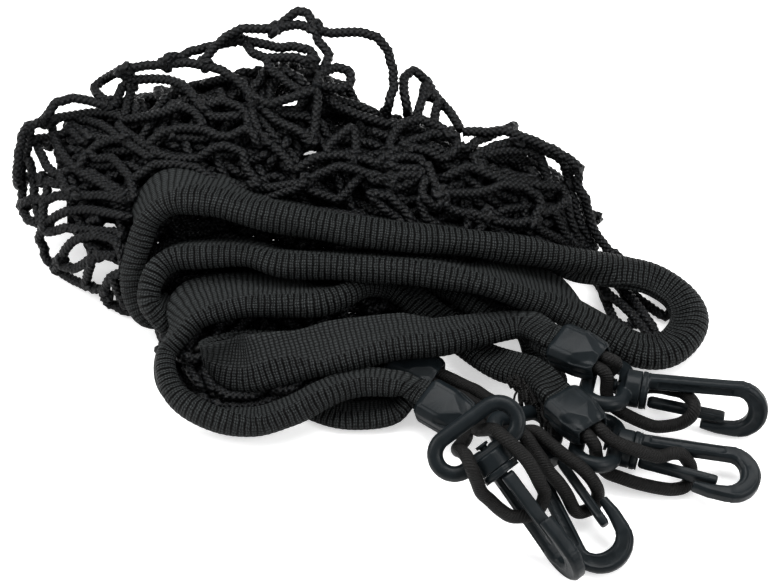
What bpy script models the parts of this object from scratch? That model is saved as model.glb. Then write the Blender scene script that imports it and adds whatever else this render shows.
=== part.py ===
"""Elastic cargo net, bunched in a heap with its four corner hooks drawn out in front.

A knotted cord net is bordered by four webbing tapes, each folded over the edge of the net.
Two tape ends meet in a plastic ferrule at each corner.  A doubled elastic cord leaves the
ferrule, passes the oval ring of a swivel and lies slack round its snap hook.

Frame: +Z up, floor at z = 0, hooks towards -Y, X to the right.  Tables are in millimetres.
"""
import math

import bmesh
import bpy
import numpy as np
from mathutils import Matrix, Vector

# ---------------------------------------------------------------- driving dimensions (mm)
MM = 0.001
GAP = 0.35                      # running clearance between neighbours
SHIFT = Vector((6.05, -18.75, 0.0))   # moves the heap so that its box is centred on the origin

TAPE_STEP = 10.0                # station spacing along a border tape
TAPE_SIDES = 12
TAPE_TAIL = 2.3                 # half thickness of the two plies behind the fold
CORD_DIAMETER = 5.6             # elastic loop
CORD_STEP = 5.0                 # spacing of the points along it
STRAND_APART = 3.05             # each strand from the middle of the mouth
NET_CORD_DIAMETER = 4.4

RING_LONG = 44.4                # swivel ring, outside
RING_DEEP = 22.4
RING_ROD = 6.8
BARREL_RADIUS = 8.0             # swivel barrel on the ring
BARREL_LENGTH = 4.0
POST_RADIUS = 1.7
POST_HEAD_RADIUS = 2.8
POST_HEAD = 1.2

HOOK_LENGTH = 54.0              # from the swivel seam to the tip
HOOK_BAR = 6.2                  # in-plane width of the fixed bar
HOOK_END = 8.4                  # in-plane width at the tip
HOOK_THICK = 6.0
COLLAR_RADIUS = 8.2
COLLAR_THICK = 3.0
NOSE_X = 27.0                   # where the nose starts
GATE_BAR = 3.8
GATE_TIP_X = 36.5
GATE_PIVOT = (COLLAR_THICK + GAP + GATE_BAR / 2, -5.2)

FERRULE = (22.0, 18.6, 13.4)    # along the tape, across, thick
FERRULE_EDGE = 2.4
MOUTH = (5.0, 12.6, 6.6)         # pocket in the front face where the elastic goes in

# ---------------------------------------------------------------- border tapes
# Columns: x, y, z of the fold; half height of the fold; width; direction of the plies behind it.
# Front tape, ferrule 3 -> lower lip -> round the left -> upper lip -> under the stack -> ferrule 2
TAPE_FRONT = [
    (3, -27, 17, 5.2, 12, (0.0, 0.9, 0.2)),
    (-12, -26, 17, 5.8, 13, (0.0, 0.9, 0.1)),
    (-28, -31, 16, 5.8, 13, (0.1, 0.9, 0.1)),
    (-43, -37, 12, 5.8, 13, (0.1, 0.9, 0.2)),
    (-58, -41, 9, 5.6, 13, (0.0, 0.9, 0.1)),
    (-77, -39, 12, 5.6, 13, (-0.1, 0.8, -0.5)),
    (-89, -32, 14, 5.4, 13, (-0.1, 0.3, -0.9)),
    (-95, -21, 16, 5.4, 13, (-0.5, 0.1, -0.9)),
    (-96, -10, 18, 5.2, 11, (-0.7, 0.3, -0.7)),
    (-90, -4, 22, 4.6, 12, (-0.4, 0.8, 0.1)),
    (-82, 3, 26, 4.8, 25, (-0.2, 0.9, 0.1)),
    (-65, 8, 29, 5.2, 26, (0.0, 1.0, -0.1)),
    (-47, 9, 29, 5.6, 26, (0.0, 1.0, -0.25)),
    (-32, 10, 29, 5.8, 24, (0.0, 1.0, -0.4)),
    (-20, 15, 28, 5.4, 19, (0.0, 1.0, -0.5)),
    (-10, 23, 25, 4.8, 14, (0.2, 1.0, -0.5)),
    (0, 26, 20, 4.4, 14, (0.6, 0.8, -0.2)),
    (11, 19, 14, 3.6, 14, (0.8, 0.6, 0.0)),
    (24, 7, 9.5, 3.2, 15, (0.7, 0.7, 0.0)),
    (36, -6, 9.5, 3.2, 15, (0.6, 0.8, 0.0)),
    (48, -15, 11.5, 4.0, 15, (0.3, 0.9, 0.2)),
    (60, -25, 19, 4.6, 14, (0.2, 0.9, 0.2)),
]
# Long tape, ferrule 3 -> under the lip -> middle run -> right-hand loop -> top run -> ferrule 4
TAPE_LONG = [
    (2, -34, 6, 3.4, 13, (0.0, 0.9, 0.0)),
    (-10, -35.5, 4.6, 3.4, 13, (0.0, 0.9, 0.0)),
    (-26, -35, 4, 3.2, 13, (0.0, 0.9, 0.0)),
    (-43, -27, 3.6, 2.8, 15, (0.3, 0.9, 0.0)),
    (-60, -17, 3.6, 2.8, 15, (0.3, 0.9, 0.0)),
    (-76, -6, 5, 2.8, 15, (0.2, 0.9, 0.0)),
    (-90, 4, 11, 3.2, 16, (0.3, 0.7, -0.2)),
    (-100, 9, 20, 4.0, 16, (0.4, 0.8, -0.3)),
    (-105, 13, 27, 4.6, 17, (0.3, 0.9, -0.3)),
    (-103, 21, 33, 5.2, 18, (0.2, 0.9, -0.4)),
    (-96, 28, 36, 5.6, 19, (0.1, 1.0, -0.4)),
    (-83, 29, 38, 5.8, 19, (0.0, 1.0, -0.4)),
    (-63, 28, 39, 5.8, 19, (0.0, 1.0, -0.4)),
    (-47, 24, 38.5, 6.4, 19, (0.0, 1.0, -0.4)),
    (-24, 23, 38, 5.8, 19, (0.0, 1.0, -0.4)),
    (4, 22, 37, 5.6, 19, (0.0, 1.0, -0.4)),
    (22, 20, 36, 5.8, 20, (0.0, 1.0, -0.4)),
    (40, 17, 33, 5.8, 21, (0.0, 1.0, -0.4)),
    (60, 15.5, 25.2, 5.6, 20, (0.0, 1.0, -0.3)),
    (74, 13, 19.2, 5.6, 19, (0.1, 1.0, -0.2)),
    (92, 6, 12, 5.8, 17, (0.2, 1.0, 0.0)),
    (108, -1, 8.4, 6.0, 16, (0.1, 1.0, 0.1)),
    (122, -0.5, 7.4, 6.1, 16, (-0.5, 0.9, 0.1)),
    (132, 8, 8, 6.2, 17, (-0.9, 0.3, 0.1)),
    (135, 20, 9, 6.2, 17, (-1.0, -0.1, 0.1)),
    (130.5, 31.5, 11, 6.2, 17, (-0.8, -0.7, 0.1)),
    (119, 39, 14, 6.4, 17, (-0.2, -1.0, 0.0)),
    (105, 40, 18, 6.2, 16, (0.1, -0.9, -0.2)),
    (90, 39, 23, 6.0, 16, (0.2, -0.5, -0.8)),
    (75, 38, 28, 6.0, 17, (0.1, 0.3, -0.9)),
    (61, 37, 33, 6.0, 18, (0.0, 0.8, -0.6)),
    (42, 36, 38, 6.2, 19, (0.0, 1.0, -0.4)),
    (22, 35, 42, 6.4, 20, (0.0, 1.0, -0.3)),
    (4, 34, 45, 6.4, 20, (0.0, 1.0, -0.3)),
    (-24, 36, 48, 6.6, 20, (0.0, 1.0, -0.3)),
    (-55, 41, 51, 6.6, 21, (0.0, 1.0, -0.2)),
    (-79, 47, 53, 6.0, 22, (0.0, 1.0, 0.0)),
    (-95, 49, 52, 5.4, 23, (-0.2, 1.0, 0.1)),
    (-105, 45, 46, 5.4, 19, (-0.3, 0.9, 0.0)),
    (-110, 38, 38, 5.6, 16, (0.0, 0.9, -0.2)),
    (-113, 31, 29, 5.6, 14, (0.3, 0.8, -0.3)),
    (-113, 25, 20, 5.4, 13, (0.4, 0.8, -0.3)),
    (-110, 19, 12, 5.0, 13, (0.4, 0.8, -0.1)),
    (-104, 18, 7, 3.6, 14, (0.2, 0.9, 0.1)),
    (-88, 20, 4.5, 2.8, 15, (0.0, 1.0, 0.1)),
    (-60, 16, 3.6, 2.8, 15, (0.0, 1.0, 0.0)),
    (-34, 8, 3.6, 2.8, 15, (0.0, 1.0, 0.0)),
    (-14, -2, 4.4, 2.8, 13, (0.0, 1.0, 0.0)),
]
# Inner tape, ferrule 1 -> middle of the mouth -> turns back on itself -> ferrule 4
TAPE_INNER = [
    (57, 1.5, 21.5, 4.6, 14, (0.0, 1.0, -0.1)),
    (40, -2, 21, 5.2, 16, (0.0, 1.0, 0.1)),
    (22, -7, 22, 5.2, 17, (0.0, 1.0, 0.3)),
    (4, -10, 22, 5.2, 18, (0.0, 1.0, 0.3)),
    (-16, -14, 21, 5.0, 19, (0.0, 0.9, 0.4)),
    (-32, -18, 19, 4.8, 21, (0.0, 0.8, 0.5)),
    (-47, -22, 17, 4.6, 24, (0.0, 0.7, 0.6)),
    (-60, -24, 14, 4.2, 26, (-0.1, 0.7, 0.7)),
    (-70, -21, 12.5, 3.8, 25, (-0.2, 0.6, 0.7)),
    (-77, -13, 12, 3.4, 20, (-0.2, 0.3, 0.9)),
    (-74, -4, 12, 3.0, 12, (0.0, 0.2, 0.9)),
    (-62, 0, 12, 2.8, 10, (0.0, 0.2, 1.0)),
    (-44, 0, 12, 2.8, 10, (0.0, 0.4, 0.9)),
    (-20, 0, 11.4, 2.8, 11, (0.0, 0.9, 0.4)),
]
# Rear tape, ferrule 2 -> along the floor -> round inside the heap -> ferrule 1
TAPE_REAR = [
    (73, -18, 10, 2.8, 13, (-0.7, -0.6, 0.0)),
    (72, -6, 4.6, 2.8, 13, (-0.8, -0.5, 0.0)),
    (70, 5, 3.6, 2.8, 14, (-0.9, -0.3, 0.0)),
    (66, 20, 3.6, 2.8, 14, (-1.0, -0.1, 0.0)),
    (52, 44, 6, 3.4, 16, (-0.9, -0.2, 0.2)),
    (34, 68, 16, 4.2, 18, (-0.5, -0.8, 0.3)),
    (-4, 82, 28, 4.8, 19, (0.0, -0.9, -0.2)),
    (-50, 82, 33, 5.0, 20, (0.0, -1.0, -0.2)),
    (-90, 85, 34, 5.0, 20, (0.0, -0.9, -0.5)),
    (-118, 88, 34, 5.0, 19, (0.0, -0.4, -0.9)),
    (-136, 96, 32, 5.0, 18, (0.0, 0.0, -1.0)),
    (-130, 108, 30, 4.8, 18, (0.0, 0.2, -1.0)),
    (-108, 104, 24, 4.8, 18, (0.0, 0.8, -0.6)),
    (-70, 90, 16, 4.6, 18, (0.0, 1.0, 0.0)),
    (-34, 69, 10, 4.2, 17, (-0.2, 1.0, 0.1)),
    (-4, 50, 9, 4.0, 16, (0.0, 1.0, 0.0)),
    (16, 36, 13, 4.2, 15, (0.4, 0.9, 0.0)),
    (25, 29, 17, 4.4, 14, (0.5, 0.8, 0.0)),
    (35, 21, 16.5, 4.4, 13, (0.5, 0.8, 0.0)),
    (46, 14, 13, 4.0, 12, (0.4, 0.9, 0.0)),
    (58, 8, 11.5, 3.2, 12, (0.3, 0.9, 0.0)),
]
# Each tape with the ferrule at its start and end, and the upper (+1) or lower (-1) place in it
TAPES = {
    "border_tape_front": (TAPE_FRONT, ("3", 1), ("2", 1)),
    "border_tape_long": (TAPE_LONG, ("3", -1), ("4", -1)),
    "border_tape_inner": (TAPE_INNER, ("1", 1), ("4", 1)),
    "border_tape_rear": (TAPE_REAR, ("2", -1), ("1", -1)),
}
TAPE_IN_FERRULE = (2.5, 12.0)   # half height and width where a tape is pressed into a ferrule

# ---------------------------------------------------------------- corners
# Columns: centre of the ferrule, direction from tape to cord, direction of its flat face;
# swivel seam, direction of the hook, direction of its fixed bar; long axis of the ring.
CORNERS = {
    "1": dict(ferrule=(80.4, -16.3, 26.3), out=(0.80, -0.60, 0.14), face=(0.1, -0.25, 0.96),
              seam=(107, -27, 14.6), hook=(0.975, -0.22, -0.01), bar=(0.05, 0.30, 0.95),
              ring=(0.05, 0.91, -0.38)),
    "2": dict(ferrule=(77, -50.7, 26.6), out=(0.55, -0.82, 0.12), face=(0.0, -0.05, 1.0),
              seam=(101, -57, 12), hook=(0.96, -0.24, -0.06), bar=(0.24, 0.96, 0.02),
              ring=(0.20, 0.90, -0.37)),
    "3": dict(ferrule=(24, -37, 13), out=(0.80, -0.60, 0.0), face=(-0.1, -0.25, 0.96),
              seam=(43.5, -81.5, 31.8), hook=(0.59, -0.66, -0.46), bar=(-0.25, 0.55, -0.80),
              ring=(0.784, 0.461, 0.415)),
    "4": dict(ferrule=(11, -10, 8), out=(0.85, -0.50, 0.0), face=(0.0, 0.0, 1.0),
              seam=(63.5, -66.8, 18), hook=(0.50, -0.81, -0.25), bar=(-0.86, -0.40, -0.32),
              ring=(0.64, 0.57, -0.52)),
}

# Doubled elastic cord at each corner: out of the ferrule, through the ring, round the hook
# and back.  Columns: x, y, z.
ELASTIC_LOOPS = {
    "1": [
        (95.8, -20.5, 25), (95.4, -19.3, 20), (93.6, -17.6, 14), (94.2, -17, 9), (97, -18, 6),
        (101, -19, 4.6), (106, -19.5, 5.5), (111.5, -19, 6.5), (116, -21.5, 9.5), (119.7, -24.3, 11.6),
        (124.4, -28, 14.1), (127.5, -33.1, 15.7), (128.5, -37.1, 16.1), (127.2, -40, 13.4),
        (123.6, -40.9, 9.8), (118.9, -40.8, 7.6), (113, -40.7, 6.8), (108, -39.2, 7.3),
        (102.5, -37, 8.5), (98, -35.5, 10.5), (93.5, -33, 13), (91.7, -30.5, 17.5), (91.6, -28.8, 22.5),
        (90.8, -27.5, 26),
    ],
    "2": [
        (90.5, -61, 24.5), (95.5, -63, 23), (100.5, -64.5, 22), (105.5, -65.5, 20.5),
        (111, -65.5, 18.5), (116.2, -63.6, 18.2), (120.5, -61.7, 15.2), (123.4, -61.5, 10.9),
        (125.4, -62, 6.8), (125.2, -65.6, 3.7), (122.4, -69.6, 3.2), (117, -71.5, 4), (111.5, -71.5, 5),
        (106.5, -71, 6), (101, -70, 7), (95.5, -68.3, 7.9), (90, -66.2, 8.8), (86.2, -63.9, 13.2),
        (84.8, -63.5, 18.6), (83.8, -64.4, 24.5),
    ],
    "3": [
        (37, -46.5, 17), (37.5, -51, 20.5), (37.5, -55, 24), (36.5, -59, 28), (36, -62.5, 32.5),
        (38, -65.5, 36.5), (40.5, -68.5, 40.5), (42.5, -72, 44), (46, -76.5, 44.5), (50, -79.5, 42.5),
        (54, -83, 40), (57, -86.5, 37), (59.5, -89.5, 33), (61.7, -90.7, 27.4), (60.4, -93, 22.3),
        (56.9, -95.9, 20.6), (52.5, -97.3, 21), (48.1, -96.8, 20.7), (43.9, -94.1, 21.5),
        (40, -91.5, 24), (36.5, -90.5, 28), (34.5, -88.5, 33), (32.5, -86, 37.5), (30.5, -81, 39),
        (28.5, -76.5, 36.5), (27.5, -73, 32.5), (27.5, -69, 28.5), (28.5, -65, 25), (30, -60.5, 21.5),
        (31, -56.5, 18), (32, -52, 15),
    ],
    "4": [
        (28, -16, 7.5), (32.5, -19, 7.5), (37, -22, 8), (41, -26, 8.5), (44.5, -30, 10), (47, -35, 11),
        (48.5, -40.5, 12), (48.5, -45.5, 13.5), (49, -51, 15.5), (50, -55, 19), (52, -57.5, 23.5),
        (55.5, -59.5, 27.5), (59.5, -62, 30.5), (63.5, -66, 30), (67.5, -69.5, 29), (72, -72.5, 27),
        (76.5, -75, 25), (80.5, -77.5, 22), (83.5, -79.5, 18), (85, -80, 12.5), (83.6, -82.2, 7.2),
        (79.2, -83.9, 5.5), (76, -85.5, 8), (73.9, -85.2, 12.2), (71.8, -83.5, 16.6), (68.4, -80.7, 21),
        (64.5, -77.5, 24), (61.5, -74, 27.5), (58.5, -70, 29.5), (55, -66, 32.5), (51.5, -62.5, 30.5),
        (47.5, -60.5, 27), (45, -57.5, 23), (44, -53, 20), (43.5, -48, 17.5), (42.5, -43, 15),
        (41.5, -38.5, 12), (39.5, -33.5, 10), (36, -29.5, 8.5), (32, -26, 8), (27, -23, 7.5),
    ],
}

# ---------------------------------------------------------------- net
# Cross sections of the bunched net, from left to right.  Columns: x; front foot y and height of
# the front face; ridge y, z; back foot y; swell of the slope between front and ridge.
NET_SECTIONS = [
    (-172, 91, 12, 99, 30, 114, 1),
    (-164, 70, 17, 104, 43, 130, 2),
    (-152, 53, 20, 110, 50, 142, 5),
    (-140, 43, 22, 112, 55, 150, 3),
    (-128, 34, 24, 112, 58, 154, 6),
    (-117, 28, 27, 117, 66, 156, 4),
    (-106, 42, 36, 119, 72, 157, 3),
    (-96, 54, 44, 120, 74, 158, 6),
    (-84, 54, 46, 124, 79, 158, 4),
    (-72, 52, 46, 126, 82, 158, 7),
    (-60, 50, 46, 126, 84, 156, 4),
    (-48, 48, 46, 128, 89, 155, 7),
    (-36, 46, 45, 124, 89, 152, 4),
    (-24, 45, 44, 122, 84, 149, 7),
    (-12, 44, 44, 122, 80, 145, 4),
    (0, 43, 42, 114, 72, 140, 7),
    (12, 42, 40, 106, 67, 136, 4),
    (24, 42, 38, 94, 61, 130, 6),
    (36, 42, 36, 87, 57, 124, 3),
    (48, 43, 34, 86, 55, 118, 5),
    (60, 45, 30, 87, 53, 114, 3),
    (72, 49, 26, 86, 45, 110, 5),
    (84, 53, 19, 78, 34, 101, 3),
    (95, 57, 12, 66, 19, 84, 1),
]
# Single strands that stand clear of the bunch or cross the right-hand loop.  Columns: x, y, z.
NET_STRANDS = [
    [(-122, 98, 54), (-129, 106, 60), (-138, 112, 59), (-136, 121, 56), (-126, 122, 56), (-118, 116, 58)],
    [(6, 100, 62), (5, 106, 67), (6, 115, 68), (11, 121, 67), (16, 117, 66), (17, 108, 64), (12, 99, 60)],
    [(-48, 126, 84), (-46, 132, 89), (-41, 134, 91), (-36, 128, 90), (-33, 120, 84)],
    [(66, 66, 16), (77, 60, 8), (87, 54, 3), (95, 46, 2.4), (97.5, 35, 2.4), (100, 24, 2.4), (105, 18.5, 2.4),
     (110, 22, 2.4), (108, 31, 2.4), (106, 40, 2.4), (101, 50, 2.4), (92, 60, 3), (80, 66, 12)],
    [(98, 53, 2.4), (105, 46, 2.4), (110.5, 38, 2.4), (117, 31, 2.4), (123, 25, 2.4), (127.5, 28, 2.4),
     (127, 34, 2.4), (121, 40, 2.4), (113, 48, 2.4), (104, 56, 2.4), (94, 62, 4)],
]
NET_CLEARANCE = 1.0


def unit(vector):
    return Vector(vector).normalized()


def material(name, colour, roughness):
    mat = bpy.data.materials.new(name)
    mat.use_nodes = True
    shader = mat.node_tree.nodes["Principled BSDF"]
    shader.inputs["Base Color"].default_value = (*colour, 1.0)
    shader.inputs["Roughness"].default_value = roughness
    shader.inputs["Metallic"].default_value = 0.0
    return mat


def smooth_path(rows, step):
    """Catmull-Rom curve through the rows, resampled about every `step` millimetres."""
    rows = np.array(rows, float)
    padded = np.vstack([2 * rows[0] - rows[1], rows, 2 * rows[-1] - rows[-2]])
    fine = []
    for i in range(1, len(padded) - 2):
        a, b, c, d = padded[i - 1:i + 3]
        for t in np.linspace(0.0, 1.0, 12, endpoint=False):
            fine.append(0.5 * (2 * b + (c - a) * t + (2 * a - 5 * b + 4 * c - d) * t ** 2
                               + (3 * b - a - 3 * c + d) * t ** 3))
    fine.append(padded[-2])
    fine = np.array(fine)
    run = np.concatenate([[0.0], np.cumsum(np.linalg.norm(np.diff(fine[:, :3], axis=0), axis=1))])
    count = max(2, round(run[-1] / step)) + 1
    at = np.linspace(0.0, run[-1], count)
    return np.stack([np.interp(at, run, fine[:, k]) for k in range(fine.shape[1])], axis=1)


def mesh_object(name, verts, faces, mat):
    mesh = bpy.data.meshes.new(name)
    mesh.from_pydata([tuple((Vector(v) + SHIFT) * MM) for v in verts], [], faces)
    mesh.validate()
    edit = bmesh.new()
    edit.from_mesh(mesh)
    bmesh.ops.recalc_face_normals(edit, faces=edit.faces)
    edit.to_mesh(mesh)
    edit.free()
    mesh.shade_smooth()
    mesh.set_sharp_from_angle(angle=math.radians(40))
    mesh.materials.append(mat)
    obj = bpy.data.objects.new(name, mesh)
    bpy.context.collection.objects.link(obj)
    return obj


def loft(name, rings, mat, closed=False):
    """Skin a list of equal-sided rings; the ends are capped unless the loft is closed."""
    sides = len(rings[0])
    verts = [v for ring in rings for v in ring]
    faces = []
    count = len(rings)
    for i in range(count if closed else count - 1):
        here, there = i * sides, (i + 1) % count * sides
        for k in range(sides):
            n = (k + 1) % sides
            faces += [(here + k, here + n, there + n), (here + k, there + n, there + k)]
    if not closed:
        faces.append(tuple(range(sides))[::-1])
        faces.append(tuple(range((count - 1) * sides, count * sides)))
    return mesh_object(name, verts, faces, mat)


def fold_profile(half_height, width, grow=0.0):
    """Folded tape in section: a round fold at s = 0 and two flat plies behind it."""
    reach = width - half_height + grow
    half_height += grow
    tail = min(TAPE_TAIL + grow, half_height)
    points = []
    for k in range(TAPE_SIDES):
        angle = 2 * math.pi * (k + 0.5) / TAPE_SIDES
        s, n = -math.cos(angle), math.sin(angle)
        if s < 0.3:
            points.append((s * half_height, n * half_height))
        else:
            points.append((half_height + (s - 0.3) / 0.7 * (reach - half_height), n * tail / 0.97
                           if abs(n) > 0.6 else n * tail * 1.6))
    return points


def ferrule_rows(tag, layer, neighbour):
    """Two straight rows behind a ferrule, so that the tape ends square to its face."""
    frame = corner_frames(tag)[0]
    half, width = TAPE_IN_FERRULE
    back = frame.y if frame.y.dot(Vector(neighbour)) > 0 else -frame.y
    rows = []
    for away in (GAP, GAP + 5.0):
        fold = frame.at(-FERRULE[0] / 2 - away, 0.0, layer * (half + GAP)) - back * (width / 2 - half)
        rows.append((*fold, half, width, *back))
    return rows


def tape(name, table, start, end, mat, grow=0.0):
    rows = [(x, y, z, h, w, *d) for x, y, z, h, w, d in table]
    rows = ferrule_rows(*start, rows[0][5:]) + rows + ferrule_rows(*end, rows[-1][5:])[::-1]
    path = smooth_path(rows, TAPE_STEP)
    rings = []
    for i, row in enumerate(path):
        before, after = path[max(i - 1, 0), :3], path[min(i + 1, len(path) - 1), :3]
        along = unit(after - before)
        if i in (0, len(path) - 1):     # square to the face of its ferrule
            along = corner_frames((start if i == 0 else end)[0])[0].x * (-1 if i == 0 else 1)
        back = Vector(row[5:8])
        back = (back - along * back.dot(along)).normalized()
        up = along.cross(back)
        centre = Vector(row[:3])
        rings.append([centre + back * s + up * n for s, n in fold_profile(row[3], row[4], grow)])
    return loft(name, rings, mat)


class Frame:
    """A corner's own axes: x along `axis`, y towards `side`, z = x cross y."""

    def __init__(self, origin, axis, side):
        self.origin = Vector(origin)
        self.x = unit(axis)
        side = Vector(side)
        self.y = (side - self.x * side.dot(self.x)).normalized()
        self.z = self.x.cross(self.y)

    def at(self, x, y, z=0.0):
        return self.origin + self.x * x + self.y * y + self.z * z


def cut(obj, other, operation, overlapping=False):
    """Apply one Boolean and drop the tool; `overlapping` is for a tool that crosses itself."""
    modifier = obj.modifiers.new("cut", "BOOLEAN")
    modifier.operation = operation
    modifier.solver = "EXACT"
    modifier.use_self = overlapping
    modifier.object = other
    evaluated = obj.evaluated_get(bpy.context.evaluated_depsgraph_get())
    mesh = bpy.data.meshes.new_from_object(evaluated)
    obj.modifiers.clear()
    old = obj.data
    obj.data = mesh
    mesh.name = obj.name
    bpy.data.meshes.remove(old)
    bpy.data.objects.remove(other)
    obj.data.shade_smooth()
    obj.data.set_sharp_from_angle(angle=math.radians(40))


def disc(name, frame, x0, x1, radius, mat, sides=20, y=0.0):
    rings = []
    for x in (x0, x1):
        rings.append([frame.at(x, y + radius * math.cos(a), radius * math.sin(a))
                      for a in (2 * math.pi * (k + 0.5) / sides for k in range(sides))])
    return loft(name, rings, mat)


def bar_section(frame, x, y, tx, ty, width, thick, bevel):
    """Chamfered rectangle across the in-plane direction (tx, ty) at (x, y)."""
    nx, ny = -ty, tx
    half, deep = width / 2, thick / 2
    outline = [(half, deep - bevel), (half - bevel, deep), (bevel - half, deep), (-half, deep - bevel),
               (-half, bevel - deep), (bevel - half, -deep), (half - bevel, -deep), (half, bevel - deep)]
    return [frame.at(x + nx * s, y + ny * s, n) for s, n in outline]


def sweep_bar(name, frame, stations, thick, bevel, mat):
    rings = []
    for i, (x, y, width) in enumerate(stations):
        x0, y0, _ = stations[max(i - 1, 0)]
        x1, y1, _ = stations[min(i + 1, len(stations) - 1)]
        run = math.hypot(x1 - x0, y1 - y0)
        rings.append(bar_section(frame, x, y, (x1 - x0) / run, (y1 - y0) / run, width, thick, bevel))
    return loft(name, rings, mat)


def hook_stations():
    """Centre line of the fixed bar, the round end and the nose, with the in-plane width."""
    rows = [(1.5, 4.9, HOOK_BAR), (12.0, 6.0, HOOK_BAR), (26.0, 7.5, HOOK_BAR), (37.0, 8.7, HOOK_BAR)]
    centre_x, centre_y = HOOK_LENGTH - 13.4, -1.0
    turns = [(86, 10.3, 6.6), (66, 10.0, 7.0), (44, 9.6, 7.6), (22, 9.3, 8.2), (0, 9.2, HOOK_END),
             (-22, 9.3, 8.2), (-44, 9.5, 7.8), (-66, 9.8, 7.2), (-86, 10.0, 6.2)]
    for angle, radius, width in turns:
        a = math.radians(angle)
        rows.append((centre_x + radius * math.cos(a), centre_y + radius * math.sin(a), width))
    rows += [(34.0, -11.5, 5.0), (NOSE_X, -11.0, 3.6)]
    return rows


def make_hook(tag, frame, mat):
    hook = sweep_bar("snap_hook_" + tag, frame, hook_stations(), HOOK_THICK, 1.3, mat)
    cut(hook, disc("collar", frame, GAP / 2, COLLAR_THICK, COLLAR_RADIUS, mat), "UNION")
    seat = -BARREL_LENGTH - RING_ROD + 0.4
    cut(hook, disc("post", frame, seat - GAP - 0.5, COLLAR_THICK / 2, POST_RADIUS, mat, 14), "UNION")
    cut(hook, disc("head", frame, seat - GAP - POST_HEAD, seat - GAP, POST_HEAD_RADIUS, mat, 14), "UNION")
    return hook


def make_gate(tag, frame, mat):
    px, py = GATE_PIVOT
    half = GATE_BAR / 2
    run_y = -6.1 - py
    stations = []
    for angle in (180, 150, 120):
        a = math.radians(angle)
        stations.append((px + half * math.cos(a) * 0.98, py, 2 * half * max(math.sin(a), 0.30)))
    stations += [(px, py, GATE_BAR), (px + 10, py + run_y * 0.30, GATE_BAR),
                 (GATE_TIP_X - 1.0, py + run_y, GATE_BAR), (GATE_TIP_X, py + run_y, GATE_BAR - 1.0)]
    return sweep_bar("gate_" + tag, frame, stations, HOOK_THICK - 0.4, 0.8, mat)


def make_ring(tag, frame, mat):
    """Oval ring in the plane of frame.x and frame.y, with the swivel barrel at x = 0."""
    rod = RING_ROD / 2
    near = -BARREL_LENGTH - rod + 0.3
    deep = RING_DEEP - RING_ROD
    straight = (RING_LONG - RING_DEEP) / 2
    radius = deep / 2
    cx = near - radius
    path = []
    for side, start in ((1, 0), (-1, 180)):
        for k in range(9):
            a = math.radians(start + 180 * k / 8)
            path.append((cx + radius * math.cos(a), side * straight + radius * math.sin(a),
                         math.cos(a), math.sin(a)))
    sides = 10
    rings = []
    for x, y, ox, oy in path:
        rings.append([frame.at(x + ox * rod * math.cos(b), y + oy * rod * math.cos(b), rod * math.sin(b))
                      for b in (2 * math.pi * (k + 0.5) / sides for k in range(sides))])
    ring = loft("swivel_ring_" + tag, rings, mat, closed=True)
    cut(ring, disc("barrel", frame, -BARREL_LENGTH - rod * 0.9, -GAP / 2, BARREL_RADIUS, mat), "UNION")
    cut(ring, disc("bore", frame, -BARREL_LENGTH - 12, 4, POST_RADIUS + GAP, mat, 14), "DIFFERENCE")
    return ring


def make_ferrule(tag, frame, mat):
    long, wide, thick = FERRULE
    edge = FERRULE_EDGE
    rows = [(-long / 2, 0.90, 0.86), (-long / 2 + 1.6, 1.0, 1.0), (long * 0.10, 1.0, 1.0),
            (long / 2 - 2.0, 0.90, 0.92), (long / 2, 0.80, 0.80)]
    rings = []
    for x, kw, kt in rows:
        w, t = wide / 2 * kw, thick / 2 * kt
        outline = [(w, t - edge), (w - edge, t), (edge - w, t), (-w, t - edge),
                   (-w, edge - t), (edge - w, -t), (w - edge, -t), (w, edge - t)]
        rings.append([frame.at(x, y, z) for y, z in outline])
    ferrule = loft("ferrule_" + tag, rings, mat)
    deep, mouth_w, mouth_t = MOUTH
    corners = [(1, 1), (-1, 1), (-1, -1), (1, -1)]
    rings = [[frame.at(x, sy * mouth_w / 2, sz * mouth_t / 2) for sy, sz in corners]
             for x in (long / 2 - deep, long / 2 + 3.0)]
    cut(ferrule, loft("mouth", rings, mat), "DIFFERENCE")
    return ferrule


def corner_frames(tag):
    c = CORNERS[tag]
    out = unit(c["out"])
    across = unit(c["face"]).cross(out)
    return (Frame(c["ferrule"], out, across), Frame(c["seam"], c["hook"], c["bar"]),
            Frame(c["seam"], c["hook"], c["ring"]))


def loop_rows(tag):
    """Both ends of an elastic loop side by side in the mouth of its ferrule."""
    frame = corner_frames(tag)[0]
    inner, outer = FERRULE[0] / 2 - MOUTH[0] + 0.6, FERRULE[0] / 2 + 1.0
    start, end = ([tuple(frame.at(x, side * STRAND_APART)) for x in (inner, outer)] for side in (1, -1))
    return start + ELASTIC_LOOPS[tag] + end[::-1]


def cord(name, table, diameter, step, mat):
    """A cord as a tube along a smooth curve through the table's points."""
    points = smooth_path(table, step)
    curve = bpy.data.curves.new(name, "CURVE")
    curve.dimensions = "3D"
    curve.bevel_depth = diameter / 2 * MM
    curve.bevel_resolution = 2
    curve.use_fill_caps = True
    spline = curve.splines.new("POLY")
    spline.points.add(len(points) - 1)
    for point, place in zip(spline.points, points):
        point.co = (*((Vector(place) + SHIFT) * MM), 1.0)
    curve.materials.append(mat)
    obj = bpy.data.objects.new(name, curve)
    bpy.context.collection.objects.link(obj)
    return obj


def strand_tube(points, diameter, mat):
    """One net strand as a six-sided tube, to be joined to the net."""
    path = smooth_path(points, 2.0 * diameter)
    rings = []
    for i, here in enumerate(path):
        along = unit(path[min(i + 1, len(path) - 1)] - path[max(i - 1, 0)])
        side = along.cross(Vector((0, 0, 1))).normalized()
        up = side.cross(along)
        rings.append([Vector(here) + (side * math.cos(a) + up * math.sin(a)) * diameter / 2
                      for a in (math.pi * k / 3 for k in range(6))])
    return loft("strand", rings, mat)


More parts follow.
